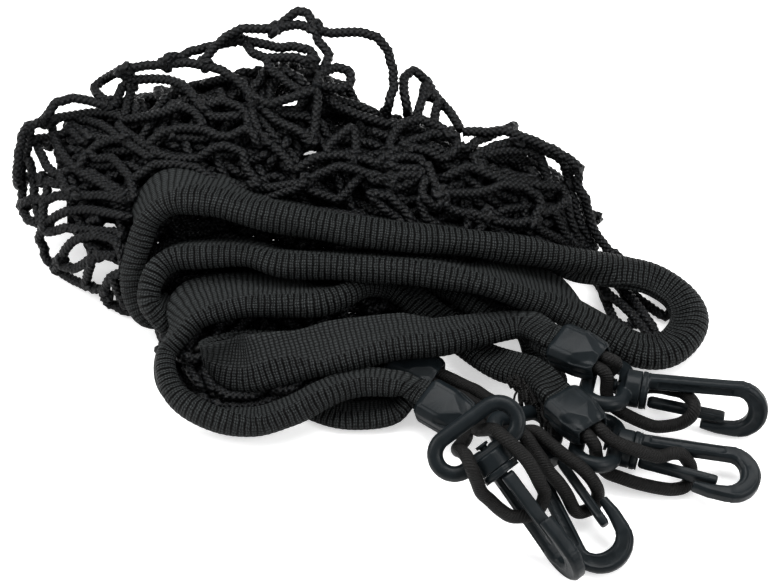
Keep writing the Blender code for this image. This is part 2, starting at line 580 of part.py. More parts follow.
def make_net(mat):
    """The bunched net as one lumpy solid with a flat foot, its tapes' channels and clear strands."""
    rings = []
    for x, front, face, ridge, top, back, swell in NET_SECTIONS:
        run, rise, fall = ridge - front, top - face, back - ridge
        outline = [(front, 0.0), (front - 1.0, face * 0.5), (front + 1.5, face),
                   (front + run * 0.3, face + rise * 0.3 + swell),
                   (front + run * 0.65, face + rise * 0.65 + 9 - swell), (ridge, top),
                   (ridge + fall * 0.4, top * 0.80), (ridge + fall * 0.75, top * 0.45),
                   (back, top * 0.12), (back - 2.0, 0.0)]
        rings.append([Vector((x, y, z)) for y, z in outline])
    net = loft("net_heap", rings, mat)
    for tape_name in ("border_tape_long", "border_tape_rear"):
        table, start, end = TAPES[tape_name]
        cut(net, tape("channel", table, start, end, mat, NET_CLEARANCE), "DIFFERENCE", True)
    for points in NET_STRANDS:
        cut(net, strand_tube(points, NET_CORD_DIAMETER, mat), "UNION")
    return net


# ---------------------------------------------------------------- build
for stale in list(bpy.data.objects):
    bpy.data.objects.remove(stale)

webbing = material("black_webbing", (0.012, 0.014, 0.014), 0.85)
plastic = material("black_moulded_plastic", (0.022, 0.026, 0.028), 0.45)
elastic = material("black_elastic_cord", (0.010, 0.010, 0.010), 0.80)
net_cord = material("black_net_cord", (0.008, 0.008, 0.008), 0.85)

for tape_name, (tape_table, tape_start, tape_end) in TAPES.items():
    tape(tape_name, tape_table, tape_start, tape_end, webbing)
for corner in CORNERS:
    ferrule_frame, hook_frame, ring_frame = corner_frames(corner)
    make_ferrule(corner, ferrule_frame, plastic)
    make_ring(corner, ring_frame, plastic)
    make_hook(corner, hook_frame, plastic)
    make_gate(corner, hook_frame, plastic)
    cord("elastic_loop_" + corner, loop_rows(corner), CORD_DIAMETER, CORD_STEP, elastic)
make_net(net_cord)
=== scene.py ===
# %% [markdown]
# # A cargo net laid down on its folded border
# A knotted cord net hangs in a border of knitted webbing.  Laid down, the net bunches into a heap
# and the border folds back and forth in front of it.  Four clamps squeeze the corners of the
# border, and an elastic loop leaves each clamp, runs through a swivel ring and round a snap hook.
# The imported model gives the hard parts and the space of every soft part.  This script gives each
# of them the surface it has in the hand: ribs, braid, sheath and moulded plastic.

# %% Load the frame
import math
import bmesh
import bpy
import numpy as np
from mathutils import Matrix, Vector, kdtree
from mathutils.bvhtree import BVHTree


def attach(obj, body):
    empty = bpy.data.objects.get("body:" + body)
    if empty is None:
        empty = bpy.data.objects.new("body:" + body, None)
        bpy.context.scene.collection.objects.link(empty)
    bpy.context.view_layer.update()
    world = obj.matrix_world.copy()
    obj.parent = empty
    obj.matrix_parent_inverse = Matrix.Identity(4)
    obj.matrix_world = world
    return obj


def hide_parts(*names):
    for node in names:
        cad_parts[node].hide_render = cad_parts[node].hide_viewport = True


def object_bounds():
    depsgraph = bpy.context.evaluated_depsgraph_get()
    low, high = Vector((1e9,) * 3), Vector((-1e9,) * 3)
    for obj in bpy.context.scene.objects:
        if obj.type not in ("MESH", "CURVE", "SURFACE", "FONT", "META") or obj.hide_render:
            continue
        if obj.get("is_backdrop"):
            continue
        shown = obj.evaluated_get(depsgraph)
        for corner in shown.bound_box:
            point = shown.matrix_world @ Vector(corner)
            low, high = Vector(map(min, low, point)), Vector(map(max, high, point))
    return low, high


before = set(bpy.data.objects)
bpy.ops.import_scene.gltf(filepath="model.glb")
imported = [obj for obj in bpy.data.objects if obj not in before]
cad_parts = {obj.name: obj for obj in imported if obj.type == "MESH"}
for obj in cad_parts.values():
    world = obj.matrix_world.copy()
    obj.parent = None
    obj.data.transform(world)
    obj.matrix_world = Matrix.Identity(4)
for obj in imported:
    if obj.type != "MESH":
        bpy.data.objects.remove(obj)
cad_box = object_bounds()
MM = 0.001
SHIFT = np.array([6.05, -18.75, 0.0])    # the tables below count from the middle of the stack
rng = np.random.default_rng(11)


def stand(name, data):
    """A new object, standing in the scene."""
    thing = bpy.data.objects.new(name, data)
    bpy.context.scene.collection.objects.link(thing)
    return thing


print("loaded", len(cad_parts), "parts")

# %% [markdown]
# ## Camera
# The net is seen from above the front edge, looking down at 48 degrees, through a long lens that
# keeps the stack of tapes nearly free of perspective.

# %% Camera
TILT = math.radians(48.0)
AWAY = 0.8475                            # metres from the lens to the middle of the stack
look = Vector((0.0, math.cos(TILT), -math.sin(TILT)))
target = Vector((0.0, 15.0, 30.0)) * MM + Vector(SHIFT) * MM
camera = stand("camera", bpy.data.cameras.new("camera"))
camera.data.lens, camera.data.sensor_width = 90.0, 36.0
camera.location = target - look * AWAY
camera.rotation_euler = (math.pi / 2 - TILT, 0.0, 0.0)
bpy.context.scene.camera = camera
bpy.context.scene.view_settings.view_transform = "Standard"
print("camera", [round(v, 3) for v in camera.location])

# %% [markdown]
# ## Nodes
# The sky, every finish and the knots are trees of nodes.  `Nodes` adds a node and sets or joins its
# sockets in one line.  A `Finish` is a material on one shader, with the layers that several of them
# share: a bump on top of the last one, noise, and a base colour that follows some other value.

# %% Node helpers
class Nodes:
    def __init__(self, tree):
        self.tree = tree

    def give(self, node, values):
        """Sets each socket to a plain value, or joins it to another node's output."""
        for key, value in values.items():
            if isinstance(value, bpy.types.NodeSocket):
                self.tree.links.new(value, node.inputs[key])
            else:
                node.inputs[key].default_value = value

    def add(self, kind, values=None, operation=None, data_type=None):
        """Adds a node and returns its outputs."""
        node = self.tree.nodes.new(kind)
        if operation:
            node.operation = operation
        if data_type:
            node.data_type = data_type
        self.give(node, values or {})
        return node.outputs


class Finish(Nodes):
    def __init__(self, name, roughness, specular):
        self.material = bpy.data.materials.new(name)
        self.material.use_nodes = True
        super().__init__(self.material.node_tree)
        self.shader = self.tree.nodes["Principled BSDF"]
        self.give(self.shader, {"Roughness": roughness, "Specular IOR Level": specular})

    def where(self, space):
        return self.add("ShaderNodeTexCoord")[space]

    def maths(self, operation, *values):
        return self.add("ShaderNodeMath", dict(enumerate(values)), operation)["Value"]

    def noise(self, source, scale, detail):
        return self.add("ShaderNodeTexNoise", {"Vector": source, "Scale": scale, "Detail": detail})

    def bump(self, height, distance, strength):
        values = {"Height": height, "Distance": distance, "Strength": strength}
        last = self.shader.inputs["Normal"].links
        if last:
            values["Normal"] = last[0].from_socket
        self.give(self.shader, {"Normal": self.add("ShaderNodeBump", values)["Normal"]})

    def colour_by(self, value, start, end, low, high):
        """Runs the base colour from low to high while the value goes from start to end."""
        ramp = self.tree.nodes.new("ShaderNodeValToRGB")
        for stop, at, colour in zip(ramp.color_ramp.elements, (start, end), (low, high)):
            stop.position, stop.color = at, (*colour, 1.0)
        self.give(ramp, {"Fac": value})
        self.give(self.shader, {"Base Color": ramp.outputs["Color"]})


# %% [markdown]
# ## Light and floor
# Black goods need large soft lights: a broad one above, a second from the left to edge the cords,
# and a low one from the right that draws a line along the hooks.  The sky is white behind the goods
# and softer as a light.  The floor is a plain pale sheet with a faint glow of its own, which washes
# out nearly all of its shadows.

# %% Sky and lights
WHITE = (1.0, 1.0, 1.0, 1.0)
world = bpy.data.worlds.new("studio")
bpy.context.scene.world = world
world.use_nodes = True
sky = Nodes(world.node_tree)
seen = sky.add("ShaderNodeLightPath")["Is Camera Ray"]
strength = sky.add("ShaderNodeMapRange", {"Value": seen, "To Min": 0.46, "To Max": 1.05})["Result"]
sky.give(world.node_tree.nodes["Background"], {"Color": WHITE, "Strength": strength})


def soft_light(name, place, aim, size, watts):
    light = stand(name, bpy.data.lights.new(name, "AREA"))
    light.data.shape = "RECTANGLE"
    light.data.size, light.data.size_y = size
    light.data.energy = watts
    light.location = place
    light.rotation_euler = (Vector(aim) - Vector(place)).to_track_quat("-Z", "Y").to_euler()


soft_light("overhead", (0.1, 0.35, 1.1), (0.0, 0.0, 0.0), (1.2, 0.8), 18.0)
soft_light("left", (-1.0, 0.1, 0.7), (0.0, 0.0, 0.03), (0.7, 0.7), 9.0)
soft_light("right", (0.9, -0.5, 0.8), (0.05, -0.05, 0.0), (0.6, 0.6), 7.0)
print("three soft lights under a white sky")

# %% Floor
floor_mesh = bpy.data.meshes.new("floor")
bm = bmesh.new()
bmesh.ops.create_grid(bm, x_segments=1, y_segments=1, size=6.0)
bm.to_mesh(floor_mesh)
bm.free()
paint = Finish("pale_floor", 0.9, 0.5)
seen = paint.add("ShaderNodeLightPath")["Is Camera Ray"]
paint.give(paint.shader, {"Base Color": (0.93, 0.93, 0.93, 1.0), "Emission Color": WHITE,
                          "Emission Strength": paint.maths("MULTIPLY", seen, 0.5)})
floor_mesh.materials.append(paint.material)
stand("floor", floor_mesh)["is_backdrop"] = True
print("a pale floor")

# %% [markdown]
# ## Shared helpers
# Every soft part here is a line with a section swept along it.  One helper draws a smooth line
# through given points, one measures along it, one carries a frame along it without twist, and
# one sets a ring of points round each of its points.

# %% Smooth lines
def unit(v):
    return v / np.maximum(np.linalg.norm(v, axis=-1, keepdims=True), 1e-9)


def run_along(points):
    """Distance of each point from the start of its line."""
    return np.concatenate([[0.0], np.cumsum(np.linalg.norm(np.diff(points, axis=0), axis=1))])


def smooth_path(rows, step):
    """Catmull-Rom curve through the rows, resampled about every `step` millimetres."""
    rows = np.array(rows, float)
    padded = np.vstack([2 * rows[0] - rows[1], rows, 2 * rows[-1] - rows[-2]])
    t = np.linspace(0.0, 1.0, 12, endpoint=False)[:, None]
    fine = []
    for a, b, c, d in zip(padded[:-3], padded[1:-2], padded[2:-1], padded[3:]):
        fine.append(0.5 * (2 * b + (c - a) * t + (2 * a - 5 * b + 4 * c - d) * t ** 2
                           + (3 * b - a - 3 * c + d) * t ** 3))
    fine = np.vstack(fine + [padded[-2][None]])
    run = run_along(fine[:, :3])
    at = np.linspace(0.0, run[-1], max(2, round(run[-1] / step)) + 1)
    return np.stack([np.interp(at, run, fine[:, k]) for k in range(fine.shape[1])], axis=1)


def carried_frames(points):
    """Side and up along a line, turned as little as possible from point to point."""
    tangent = unit(np.gradient(points, axis=0))
    side = np.zeros_like(points)
    seed = np.cross(tangent[0], (0.0, 0.0, 1.0))
    side[0] = unit(seed if np.linalg.norm(seed) > 0.1 else np.cross(tangent[0], (1.0, 0.0, 0.0)))
    for i in range(1, len(points)):
        s = side[i - 1] - tangent[i] * side[i - 1].dot(tangent[i])
        side[i] = s / math.sqrt(s.dot(s))
    return side, np.cross(tangent, side)


def rings_round(line, side, up, radius, sides):
    turn = 2 * math.pi * np.arange(sides)[:, None] / sides
    return line[:, None] + radius * (side[:, None] * np.cos(turn) + up[:, None] * np.sin(turn))


# %% [markdown]
# ## Skinning
# `Skin` collects rings of equal size and writes one mesh with its UV map.  The map counts in
# metres: U runs along the line and V round the section, so ribs and threads keep their real size.
# The "knit" value of each point is for webbing only, and is 0 on everything else.

# %% Skinning
def outward(mesh):
    """Turns the faces outwards."""
    bm = bmesh.new()
    bm.from_mesh(mesh)
    if bm.calc_volume(signed=True) < 0:
        bmesh.ops.reverse_faces(bm, faces=bm.faces)
    bm.to_mesh(mesh)
    bm.free()


class Skin:
    def __init__(self):
        self.verts, self.loops, self.sizes, self.uvs, self.knit = [], [], [], [], []
        self.count = 0

    def add(self, rings, run, girth, knit=None):
        """rings (n, m, 3) in mm; run (n) gives U, girth (m + 1) or (n, m + 1) V; knit (n, m)."""
        n, m = rings.shape[:2]
        girth = np.broadcast_to(girth, (n, m + 1))
        i, k = np.arange(n - 1)[:, None] * m, np.arange(m)[None, :]
        j = (np.arange(m) + 1)[None, :] % m
        quads = np.stack([i + k, i + j, i + m + j, i + m + k], -1).reshape(-1, 4)
        u0, u1 = np.repeat(run[:-1], m), np.repeat(run[1:], m)
        v = [girth[:-1, :-1], girth[:-1, 1:], girth[1:, 1:], girth[1:, :-1]]
        uv = np.stack([np.stack([u, w.ravel()], -1) for u, w in zip((u0, u0, u1, u1), v)], 1)
        caps = [np.arange(m)[::-1], (n - 1) * m + np.arange(m)]
        self.verts.append(rings.reshape(-1, 3))
        self.knit.append(np.zeros(n * m) if knit is None else knit.ravel())
        self.loops += [(quads + self.count).ravel()] + [c + self.count for c in caps]
        self.sizes += [np.full(len(quads), 4)] + [np.array([m])] * 2
        self.uvs += [uv.reshape(-1, 2), np.full((m, 2), run[0]), np.full((m, 2), run[-1])]
        self.count += n * m

    def build(self, name, finish):
        verts = (np.vstack(self.verts) + SHIFT) * MM
        loops, sizes = np.concatenate(self.loops), np.concatenate(self.sizes)
        starts = np.concatenate([[0], np.cumsum(sizes)[:-1]])
        mesh = bpy.data.meshes.new(name)
        mesh.vertices.add(len(verts))
        mesh.vertices.foreach_set("co", verts.ravel())
        mesh.loops.add(len(loops))
        mesh.loops.foreach_set("vertex_index", loops.astype(np.int32))
        mesh.polygons.add(len(sizes))
        mesh.polygons.foreach_set("loop_start", starts.astype(np.int32))
        mesh.update(calc_edges=True)
        knit = mesh.attributes.new("knit", "FLOAT", "POINT")
        knit.data.foreach_set("value", np.concatenate(self.knit).astype(np.float32))
        layer = mesh.uv_layers.new(name="cloth")
        layer.data.foreach_set("uv", (np.vstack(self.uvs) * MM).ravel().astype(np.float32))
        mesh.validate()
        outward(mesh)
        mesh.shade_smooth()
        mesh.materials.append(finish.material)
        piece = stand(name, mesh)
        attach(piece, "net")
        print(name, sum(len(p.vertices) - 2 for p in mesh.polygons), "triangles")
        return piece


# %% [markdown]
# ## Finishes
# Everything is black, so the finishes differ in how they scatter light.  The thread relief of cord
# and webbing is in their meshes.  The material adds what is finer: the filaments that run along
# each thread, and painted shade that darkens the hollows between threads, where little light gets.
# The net's cord is a braid of lozenges as long as the rings of its mesh.

# %% Cloth and net cord
class Cloth(Finish):
    def __init__(self, name, roughness, specular, across, along):
        """`across` and `along` count filaments per metre of the cloth map."""
        super().__init__(name, roughness, specular)
        grid = self.add("ShaderNodeMapping", {"Vector": self.where("UV"),
                                              "Scale": (along, across, 1.0)})
        self.bump(self.noise(grid["Vector"], 1.0, 2.0)["Fac"], 0.0004, 0.8)


LOZENGE = (0.0013, 0.0017279)            # along and round the cord, in metres
net_black = Cloth("net_braid", 0.42, 0.16, 2600.0, 900.0)
maths = net_black.maths
cloth = net_black.add("ShaderNodeSeparateXYZ", {"Vector": net_black.where("UV")})
along, around = [maths("COSINE", maths("MULTIPLY", cloth[axis], math.pi / size))
                 for axis, size in zip("XY", LOZENGE)]
lozenge = maths("MULTIPLY_ADD", maths("MULTIPLY", along, around), 0.5, 0.5)
net_black.bump(lozenge, 0.0011, 0.9)
# painted shade: the base colour darkens where the lozenge pattern is low, in the hollows of the
# braid
net_black.colour_by(lozenge, 0.25, 0.95, (0.0005, 0.0005, 0.0006), (0.0098, 0.0108, 0.0122))

# %% [markdown]
# ### Knitted webbing
# Over the fold the webbing is a thick knit: double columns of knots 2.6 mm apart, a knot every
# 1.3 mm along them.  On the plies only fine cross ribs show.  The mesh's own "knit" value picks
# between the two; the same height also paints shade into the base colour, darker in the hollows.
# A little noise puts the stitches out of line, and lets some knots stand prouder than others.

# %% Webbing material
RIB = 2.6                                # millimetres from one double column to the next
KNOT, FINE_RIB = 0.0013, 0.0020          # metres from knot to knot, and between ribs of the plies
webbing_black = Cloth("border_webbing", 0.55, 0.09, 1500.0, 3200.0)
maths = webbing_black.maths
uneven = webbing_black.noise(webbing_black.where("Object"), 260.0, 3.0)
stray = webbing_black.add("ShaderNodeVectorMath", {
    0: uneven["Color"], 1: (0.0014, 0.0014, 0.0), 2: webbing_black.where("UV")}, "MULTIPLY_ADD")
cloth = webbing_black.add("ShaderNodeSeparateXYZ", {"Vector": stray["Vector"]})


def wave(axis, period, power, share=1.0):
    """|sin| with one hump per period, sharpened by a power, kept to the top `share` of 0 to 1."""
    sine = maths("SINE", maths("MULTIPLY", cloth[axis], math.pi / period))
    hump = maths("POWER", maths("ABSOLUTE", sine), power)
    return maths("MULTIPLY_ADD", hump, share, 1.0 - share)


knit = maths("MULTIPLY", wave("X", KNOT, 0.9, 0.6), wave("Y", KNOT, 0.7, 0.5))
knit = maths("MULTIPLY", wave("X", RIB * MM, 0.8), knit)
knit = maths("MULTIPLY", knit, maths("MULTIPLY_ADD", uneven["Fac"], 1.1, 0.5))
ply = maths("MULTIPLY", wave("X", FINE_RIB, 0.7), wave("Y", KNOT, 0.7, 0.55))
ply = maths("MULTIPLY_ADD", ply, 0.46, 0.22)
mask = webbing_black.add("ShaderNodeAttribute")["Fac"]
mask.node.attribute_name = "knit"
height = maths("MULTIPLY_ADD", mask, maths("SUBTRACT", knit, ply), ply)
webbing_black.bump(height, 0.0020, 1.0)
# painted shade: the base colour darkens with the knit and rib height, in the hollows between them
webbing_black.colour_by(height, 0.22, 0.95, (0.0004, 0.0004, 0.0004), (0.0410, 0.0453, 0.0459))

# %% [markdown]
# ### Elastic sheath
# The sheath of shock cord is woven round the rubber, so it shows close cross ribs that lean a
# little one way.  They are too fine for the mesh and come from the map as a bump.  Noise greys the
# yarn a little, as dust does.

# %% Elastic material
elastic_black = Cloth("elastic_sheath", 0.55, 0.16, 4000.0, 1200.0)
dust = elastic_black.noise(elastic_black.where("Object"), 900.0, 3.0)["Fac"]
elastic_black.colour_by(dust, 0.3, 0.7, (0.0024, 0.0023, 0.0022), (0.0052, 0.0049, 0.0047))
maths = elastic_black.maths
cloth = elastic_black.add("ShaderNodeSeparateXYZ", {"Vector": elastic_black.where("UV")})
lean = maths("ADD", cloth["X"], maths("MULTIPLY", cloth["Y"], 0.35))
rib = maths("ABSOLUTE", maths("SINE", maths("MULTIPLY", lean, math.pi / 0.00105)))
elastic_black.bump(rib, 0.0003, 0.75)

# %% [markdown]
# ### Moulded plastic
# Hooks, rings and clamps are moulded in filled black nylon.  It looks slate grey under a big
# light because its fine grain scatters a broad highlight; handling leaves soft patches of shine.

# %% Plastic material
moulded = Finish("moulded_nylon", 0.36, 0.13)
patches = moulded.noise(moulded.where("Object"), 160.0, 4.0)["Fac"]
moulded.colour_by(patches, 0.3, 0.7, (0.0046, 0.0066, 0.0078), (0.0074, 0.0102, 0.0120))
moulded.give(moulded.shader, {"Roughness": moulded.add(
    "ShaderNodeMapRange", {"Value": patches, "To Min": 0.28, "To Max": 0.42})["Result"]})
moulded.bump(moulded.noise(moulded.where("Object"), 2600.0, 2.0)["Fac"], 0.00008, 0.5)
print("four finishes made")

# %% [markdown]
# ## Corner hardware frames
# Each corner has a clamp, a swivel ring and a snap hook.  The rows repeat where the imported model
# has them, because the elastic and the ends of the tapes start from these parts.

# %% Corner frames
FERRULE_LONG = 22.0
CORNERS = {
    "1": dict(clamp=(80.4, -16.3, 26.3), out=(0.80, -0.60, 0.14), face=(0.1, -0.25, 0.96),
              seam=(107, -27, 14.6), hook=(0.975, -0.22, -0.01), bar=(0.05, 0.30, 0.95),
              ring=(0.05, 0.91, -0.38)),
    "2": dict(clamp=(77, -50.7, 26.6), out=(0.55, -0.82, 0.12), face=(0.0, -0.05, 1.0),
              seam=(101, -57, 12), hook=(0.96, -0.24, -0.06), bar=(0.24, 0.96, 0.02),
              ring=(0.20, 0.90, -0.37)),
    "3": dict(clamp=(24, -37, 13), out=(0.80, -0.60, 0.0), face=(-0.1, -0.25, 0.96),
              seam=(43.5, -81.5, 31.8), hook=(0.59, -0.66, -0.46), bar=(-0.25, 0.55, -0.80),
              ring=(0.784, 0.461, 0.415)),
    "4": dict(clamp=(11, -10, 8), out=(0.85, -0.50, 0.0), face=(0.0, 0.0, 1.0),
              seam=(63.5, -66.8, 18), hook=(0.50, -0.81, -0.25), bar=(-0.86, -0.40, -0.32),
              ring=(0.64, 0.57, -0.52)),
}


def axes(along, across):
    x = unit(np.array(along, float))
    y = np.array(across, float)
    y = unit(y - x * x.dot(y))
    return x, y, np.cross(x, y)


def clamp_frame(tag):
    """Middle of a clamp, and its axes: out of its mouth, across it, and up through its face."""
    corner = CORNERS[tag]
    out = unit(np.array(corner["out"], float))
    across = np.cross(unit(np.array(corner["face"], float)), out)
    return (np.array(corner["clamp"], float), *axes(out, across))


print(len(CORNERS), "corners of hardware")

# %% [markdown]
# ## Elastic loops
# A loop is one piece of shock cord with both ends pressed into its clamp.  Its rows are the route
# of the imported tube, read from a smooth curve: through the ring, into the hook and back.

# %% Elastic routes
LOOPS = {
    "1": [(95.8, -20.5, 25), (95.4, -19.3, 20), (93.6, -17.6, 14), (94.2, -17, 9), (97, -18, 6),
        (101, -19, 4.6), (106, -19.5, 5.5), (111.5, -19, 6.5), (116, -21.5, 9.5),
        (119.7, -24.3, 11.6), (124.4, -28, 14.1), (127.5, -33.1, 15.7), (128.5, -37.1, 16.1),
        (127.2, -40, 13.4), (123.6, -40.9, 9.8), (118.9, -40.8, 7.6), (113, -40.7, 6.8),
        (108, -39.2, 7.3), (102.5, -37, 8.5), (98, -35.5, 10.5), (93.5, -33, 13),
        (91.7, -30.5, 17.5), (91.6, -28.8, 22.5), (90.8, -27.5, 26)],
    "2": [(90.5, -61, 24.5), (95.5, -63, 23), (100.5, -64.5, 22), (105.5, -65.5, 20.5),
        (111, -65.5, 18.5), (116.2, -63.6, 18.2), (120.5, -61.7, 15.2), (123.4, -61.5, 10.9),
        (125.4, -62, 6.8), (125.2, -65.6, 3.7), (122.4, -69.6, 3.2), (117, -71.5, 4),
        (111.5, -71.5, 5), (106.5, -71, 6), (101, -70, 7), (95.5, -68.3, 7.9), (90, -66.2, 8.8),
        (86.2, -63.9, 13.2), (84.8, -63.5, 18.6), (83.8, -64.4, 24.5)],
    "3": [(37, -46.5, 17), (37.5, -51, 20.5), (37.5, -55, 24), (36.5, -59, 28), (36, -62.5, 32.5),
        (38, -65.5, 36.5), (40.5, -68.5, 40.5), (42.5, -72, 44), (46, -76.5, 44.5),
        (50, -79.5, 42.5), (54, -83, 40), (57, -86.5, 37), (59.5, -89.5, 33), (61.7, -90.7, 27.4),
        (60.4, -93, 22.3), (56.9, -95.9, 20.6), (52.5, -97.3, 21), (48.1, -96.8, 20.7),
        (43.9, -94.1, 21.5), (40, -91.5, 24), (36.5, -90.5, 28), (34.5, -88.5, 33),
        (32.5, -86, 37.5), (30.5, -81, 39), (28.5, -76.5, 36.5), (27.5, -73, 32.5),
        (27.5, -69, 28.5), (28.5, -65, 25), (30, -60.5, 21.5), (31, -56.5, 18), (32, -52, 15)],
    "4": [(28, -16, 7.5), (32.5, -19, 7.5), (37, -22, 8), (41, -26, 8.5), (44.5, -30, 10),
        (47, -35, 11), (48.5, -40.5, 12), (48.5, -45.5, 13.5), (49, -51, 15.5), (50, -55, 19),
        (52, -57.5, 23.5), (55.5, -59.5, 27.5), (59.5, -62, 30.5), (63.5, -66, 30),
        (67.5, -69.5, 29), (72, -72.5, 27), (76.5, -75, 25), (80.5, -77.5, 22), (83.5, -79.5, 18),
        (85, -80, 12.5), (83.6, -82.2, 7.2), (79.2, -83.9, 5.5), (76, -85.5, 8),
        (73.9, -85.2, 12.2), (71.8, -83.5, 16.6), (68.4, -80.7, 21), (64.5, -77.5, 24),
        (61.5, -74, 27.5), (58.5, -70, 29.5), (55, -66, 32.5), (51.5, -62.5, 30.5),
        (47.5, -60.5, 27), (45, -57.5, 23), (44, -53, 20), (43.5, -48, 17.5), (42.5, -43, 15),
        (41.5, -38.5, 12), (39.5, -33.5, 10), (36, -29.5, 8.5), (32, -26, 8), (27, -23, 7.5)],
}

# %% Elastic loops
ELASTIC_WIDE = 5.6
IN_CLAMP, BESIDE = (6.6, 12.0), 3.05     # where the two ends lie inside the clamp


def loop_route(tag):
    centre, x, y, z = clamp_frame(tag)
    ends = [[centre + x * s + y * side * BESIDE for s in IN_CLAMP] for side in (1, -1)]
    return ends[0] + LOOPS[tag] + ends[1][::-1]


for tag in LOOPS:
    route = smooth_path(loop_route(tag), 1.2)
    run = run_along(route)
    skin = Skin()
    skin.add(rings_round(route, *carried_frames(route), ELASTIC_WIDE / 2, 20), run,
             np.linspace(0.0, math.pi * ELASTIC_WIDE, 21))
    elastic = skin.build("elastic_" + tag, elastic_black)
    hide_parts("elastic_loop_" + tag)
    path = (route + SHIFT) * MM
    print("loop", tag, round(run[-1]), "mm")

# %% [markdown]
# ## Border tapes
# The border is one knitted tape, 38 mm wide, folded along its middle with the net's edge inside.
# The fold is knitted thick: rows of paired knots 2.6 mm apart, standing on a soft round edge.  The
# two plies behind it are thin, with fine cross ribs.  Each row of a table gives the fold's place,
# half its height, its depth and the way its plies point.

# %% Tape tables
# Front tape, clamp 3 -> lower lip -> round the left -> upper lip -> under the stack -> clamp 2
TAPE_FRONT = [(3, -27, 17, 5.2, 12, 0, 0.9, 0.2), (-12, -26, 17, 5.8, 13, 0, 0.9, 0.1),
    (-28, -31, 16, 5.8, 13, 0.1, 0.9, 0.1), (-43, -37, 12, 5.8, 13, 0.1, 0.9, 0.2),
    (-58, -41, 9, 5.6, 13, 0, 0.9, 0.1), (-77, -39, 12, 5.6, 13, -0.1, 0.8, -0.5),
    (-89, -32, 14, 5.4, 13, -0.1, 0.3, -0.9), (-95, -21, 16, 5.4, 13, -0.5, 0.1, -0.9),
    (-96, -10, 18, 5.2, 11, -0.7, 0.3, -0.7), (-90, -4, 22, 4.6, 12, -0.4, 0.8, 0.1),
    (-82, 3, 26, 4.8, 25, -0.2, 0.9, 0.1), (-65, 8, 29, 5.2, 26, 0, 1, -0.1),
    (-47, 9, 29, 5.6, 26, 0, 1, -0.25), (-32, 10, 29, 5.8, 24, 0, 1, -0.4),
    (-20, 15, 28, 5.4, 19, 0, 1, -0.5), (-10, 23, 25, 4.8, 14, 0.2, 1, -0.5),
    (0, 26, 20, 4.4, 14, 0.6, 0.8, -0.2), (11, 19, 14, 3.6, 14, 0.8, 0.6, 0),
    (24, 7, 9.5, 3.2, 15, 0.7, 0.7, 0), (36, -6, 9.5, 3.2, 15, 0.6, 0.8, 0),
    (48, -15, 11.5, 4, 15, 0.3, 0.9, 0.2), (60, -25, 19, 4.6, 14, 0.2, 0.9, 0.2)]
# Long tape, clamp 3 -> under the lip -> middle run -> right-hand loop -> top run -> clamp 4
TAPE_LONG = [(2, -34, 6, 3.4, 13, 0, 0.9, 0), (-10, -35.5, 4.6, 3.4, 13, 0, 0.9, 0),
    (-26, -35, 4, 3.2, 13, 0, 0.9, 0), (-43, -27, 3.6, 2.8, 15, 0.3, 0.9, 0),
    (-60, -17, 3.6, 2.8, 15, 0.3, 0.9, 0), (-76, -6, 5, 2.8, 15, 0.2, 0.9, 0),
    (-90, 4, 11, 3.2, 16, 0.3, 0.7, -0.2), (-100, 9, 20, 4, 16, 0.4, 0.8, -0.3),
    (-105, 13, 27, 4.6, 17, 0.3, 0.9, -0.3), (-103, 21, 33, 5.2, 18, 0.2, 0.9, -0.4),
    (-96, 28, 36, 5.6, 19, 0.1, 1, -0.4), (-83, 29, 38, 5.8, 19, 0, 1, -0.4),
    (-63, 28, 39, 5.8, 19, 0, 1, -0.4), (-47, 24, 38.5, 6.4, 19, 0, 1, -0.4),
    (-24, 23, 38, 5.8, 19, 0, 1, -0.4), (4, 22, 37, 5.6, 19, 0, 1, -0.4),
    (22, 20, 36, 5.8, 20, 0, 1, -0.4), (40, 17, 33, 5.8, 21, 0, 1, -0.4),
    (60, 15.5, 25.2, 5.6, 20, 0, 1, -0.3), (74, 13, 19.2, 5.6, 19, 0.1, 1, -0.2),
    (92, 6, 12, 5.8, 17, 0.2, 1, 0), (108, -1, 8.4, 6, 16, 0.1, 1, 0.1),
    (122, -0.5, 7.4, 6.1, 16, -0.5, 0.9, 0.1), (132, 8, 8, 6.2, 17, -0.9, 0.3, 0.1),
    (135, 20, 9, 6.2, 17, -1, -0.1, 0.1), (130.5, 31.5, 11, 6.2, 17, -0.8, -0.7, 0.1),
    (119, 39, 14, 6.4, 17, -0.2, -1, 0), (105, 40, 18, 6.2, 16, 0.1, -0.9, -0.2),
    (90, 39, 23, 6, 16, 0.2, -0.5, -0.8), (75, 38, 28, 6, 17, 0.1, 0.3, -0.9),
    (61, 37, 33, 6, 18, 0, 0.8, -0.6), (42, 36, 38, 6.2, 19, 0, 1, -0.4),
    (22, 35, 42, 6.4, 20, 0, 1, -0.3), (4, 34, 45, 6.4, 20, 0, 1, -0.3),
    (-24, 36, 48, 6.6, 20, 0, 1, -0.3), (-55, 41, 51, 6.6, 21, 0, 1, -0.2),
    (-79, 47, 53, 6, 22, 0, 1, 0), (-95, 49, 52, 5.4, 23, -0.2, 1, 0.1),
    (-105, 45, 46, 5.4, 19, -0.3, 0.9, 0), (-110, 38, 38, 5.6, 16, 0, 0.9, -0.2),
    (-113, 31, 29, 5.6, 14, 0.3, 0.8, -0.3), (-113, 25, 20, 5.4, 13, 0.4, 0.8, -0.3),
    (-110, 19, 12, 5, 13, 0.4, 0.8, -0.1), (-104, 18, 7, 3.6, 14, 0.2, 0.9, 0.1),
    (-88, 20, 4.5, 2.8, 15, 0, 1, 0.1), (-60, 16, 3.6, 2.8, 15, 0, 1, 0),
    (-34, 8, 3.6, 2.8, 15, 0, 1, 0), (-14, -2, 4.4, 2.8, 13, 0, 1, 0)]
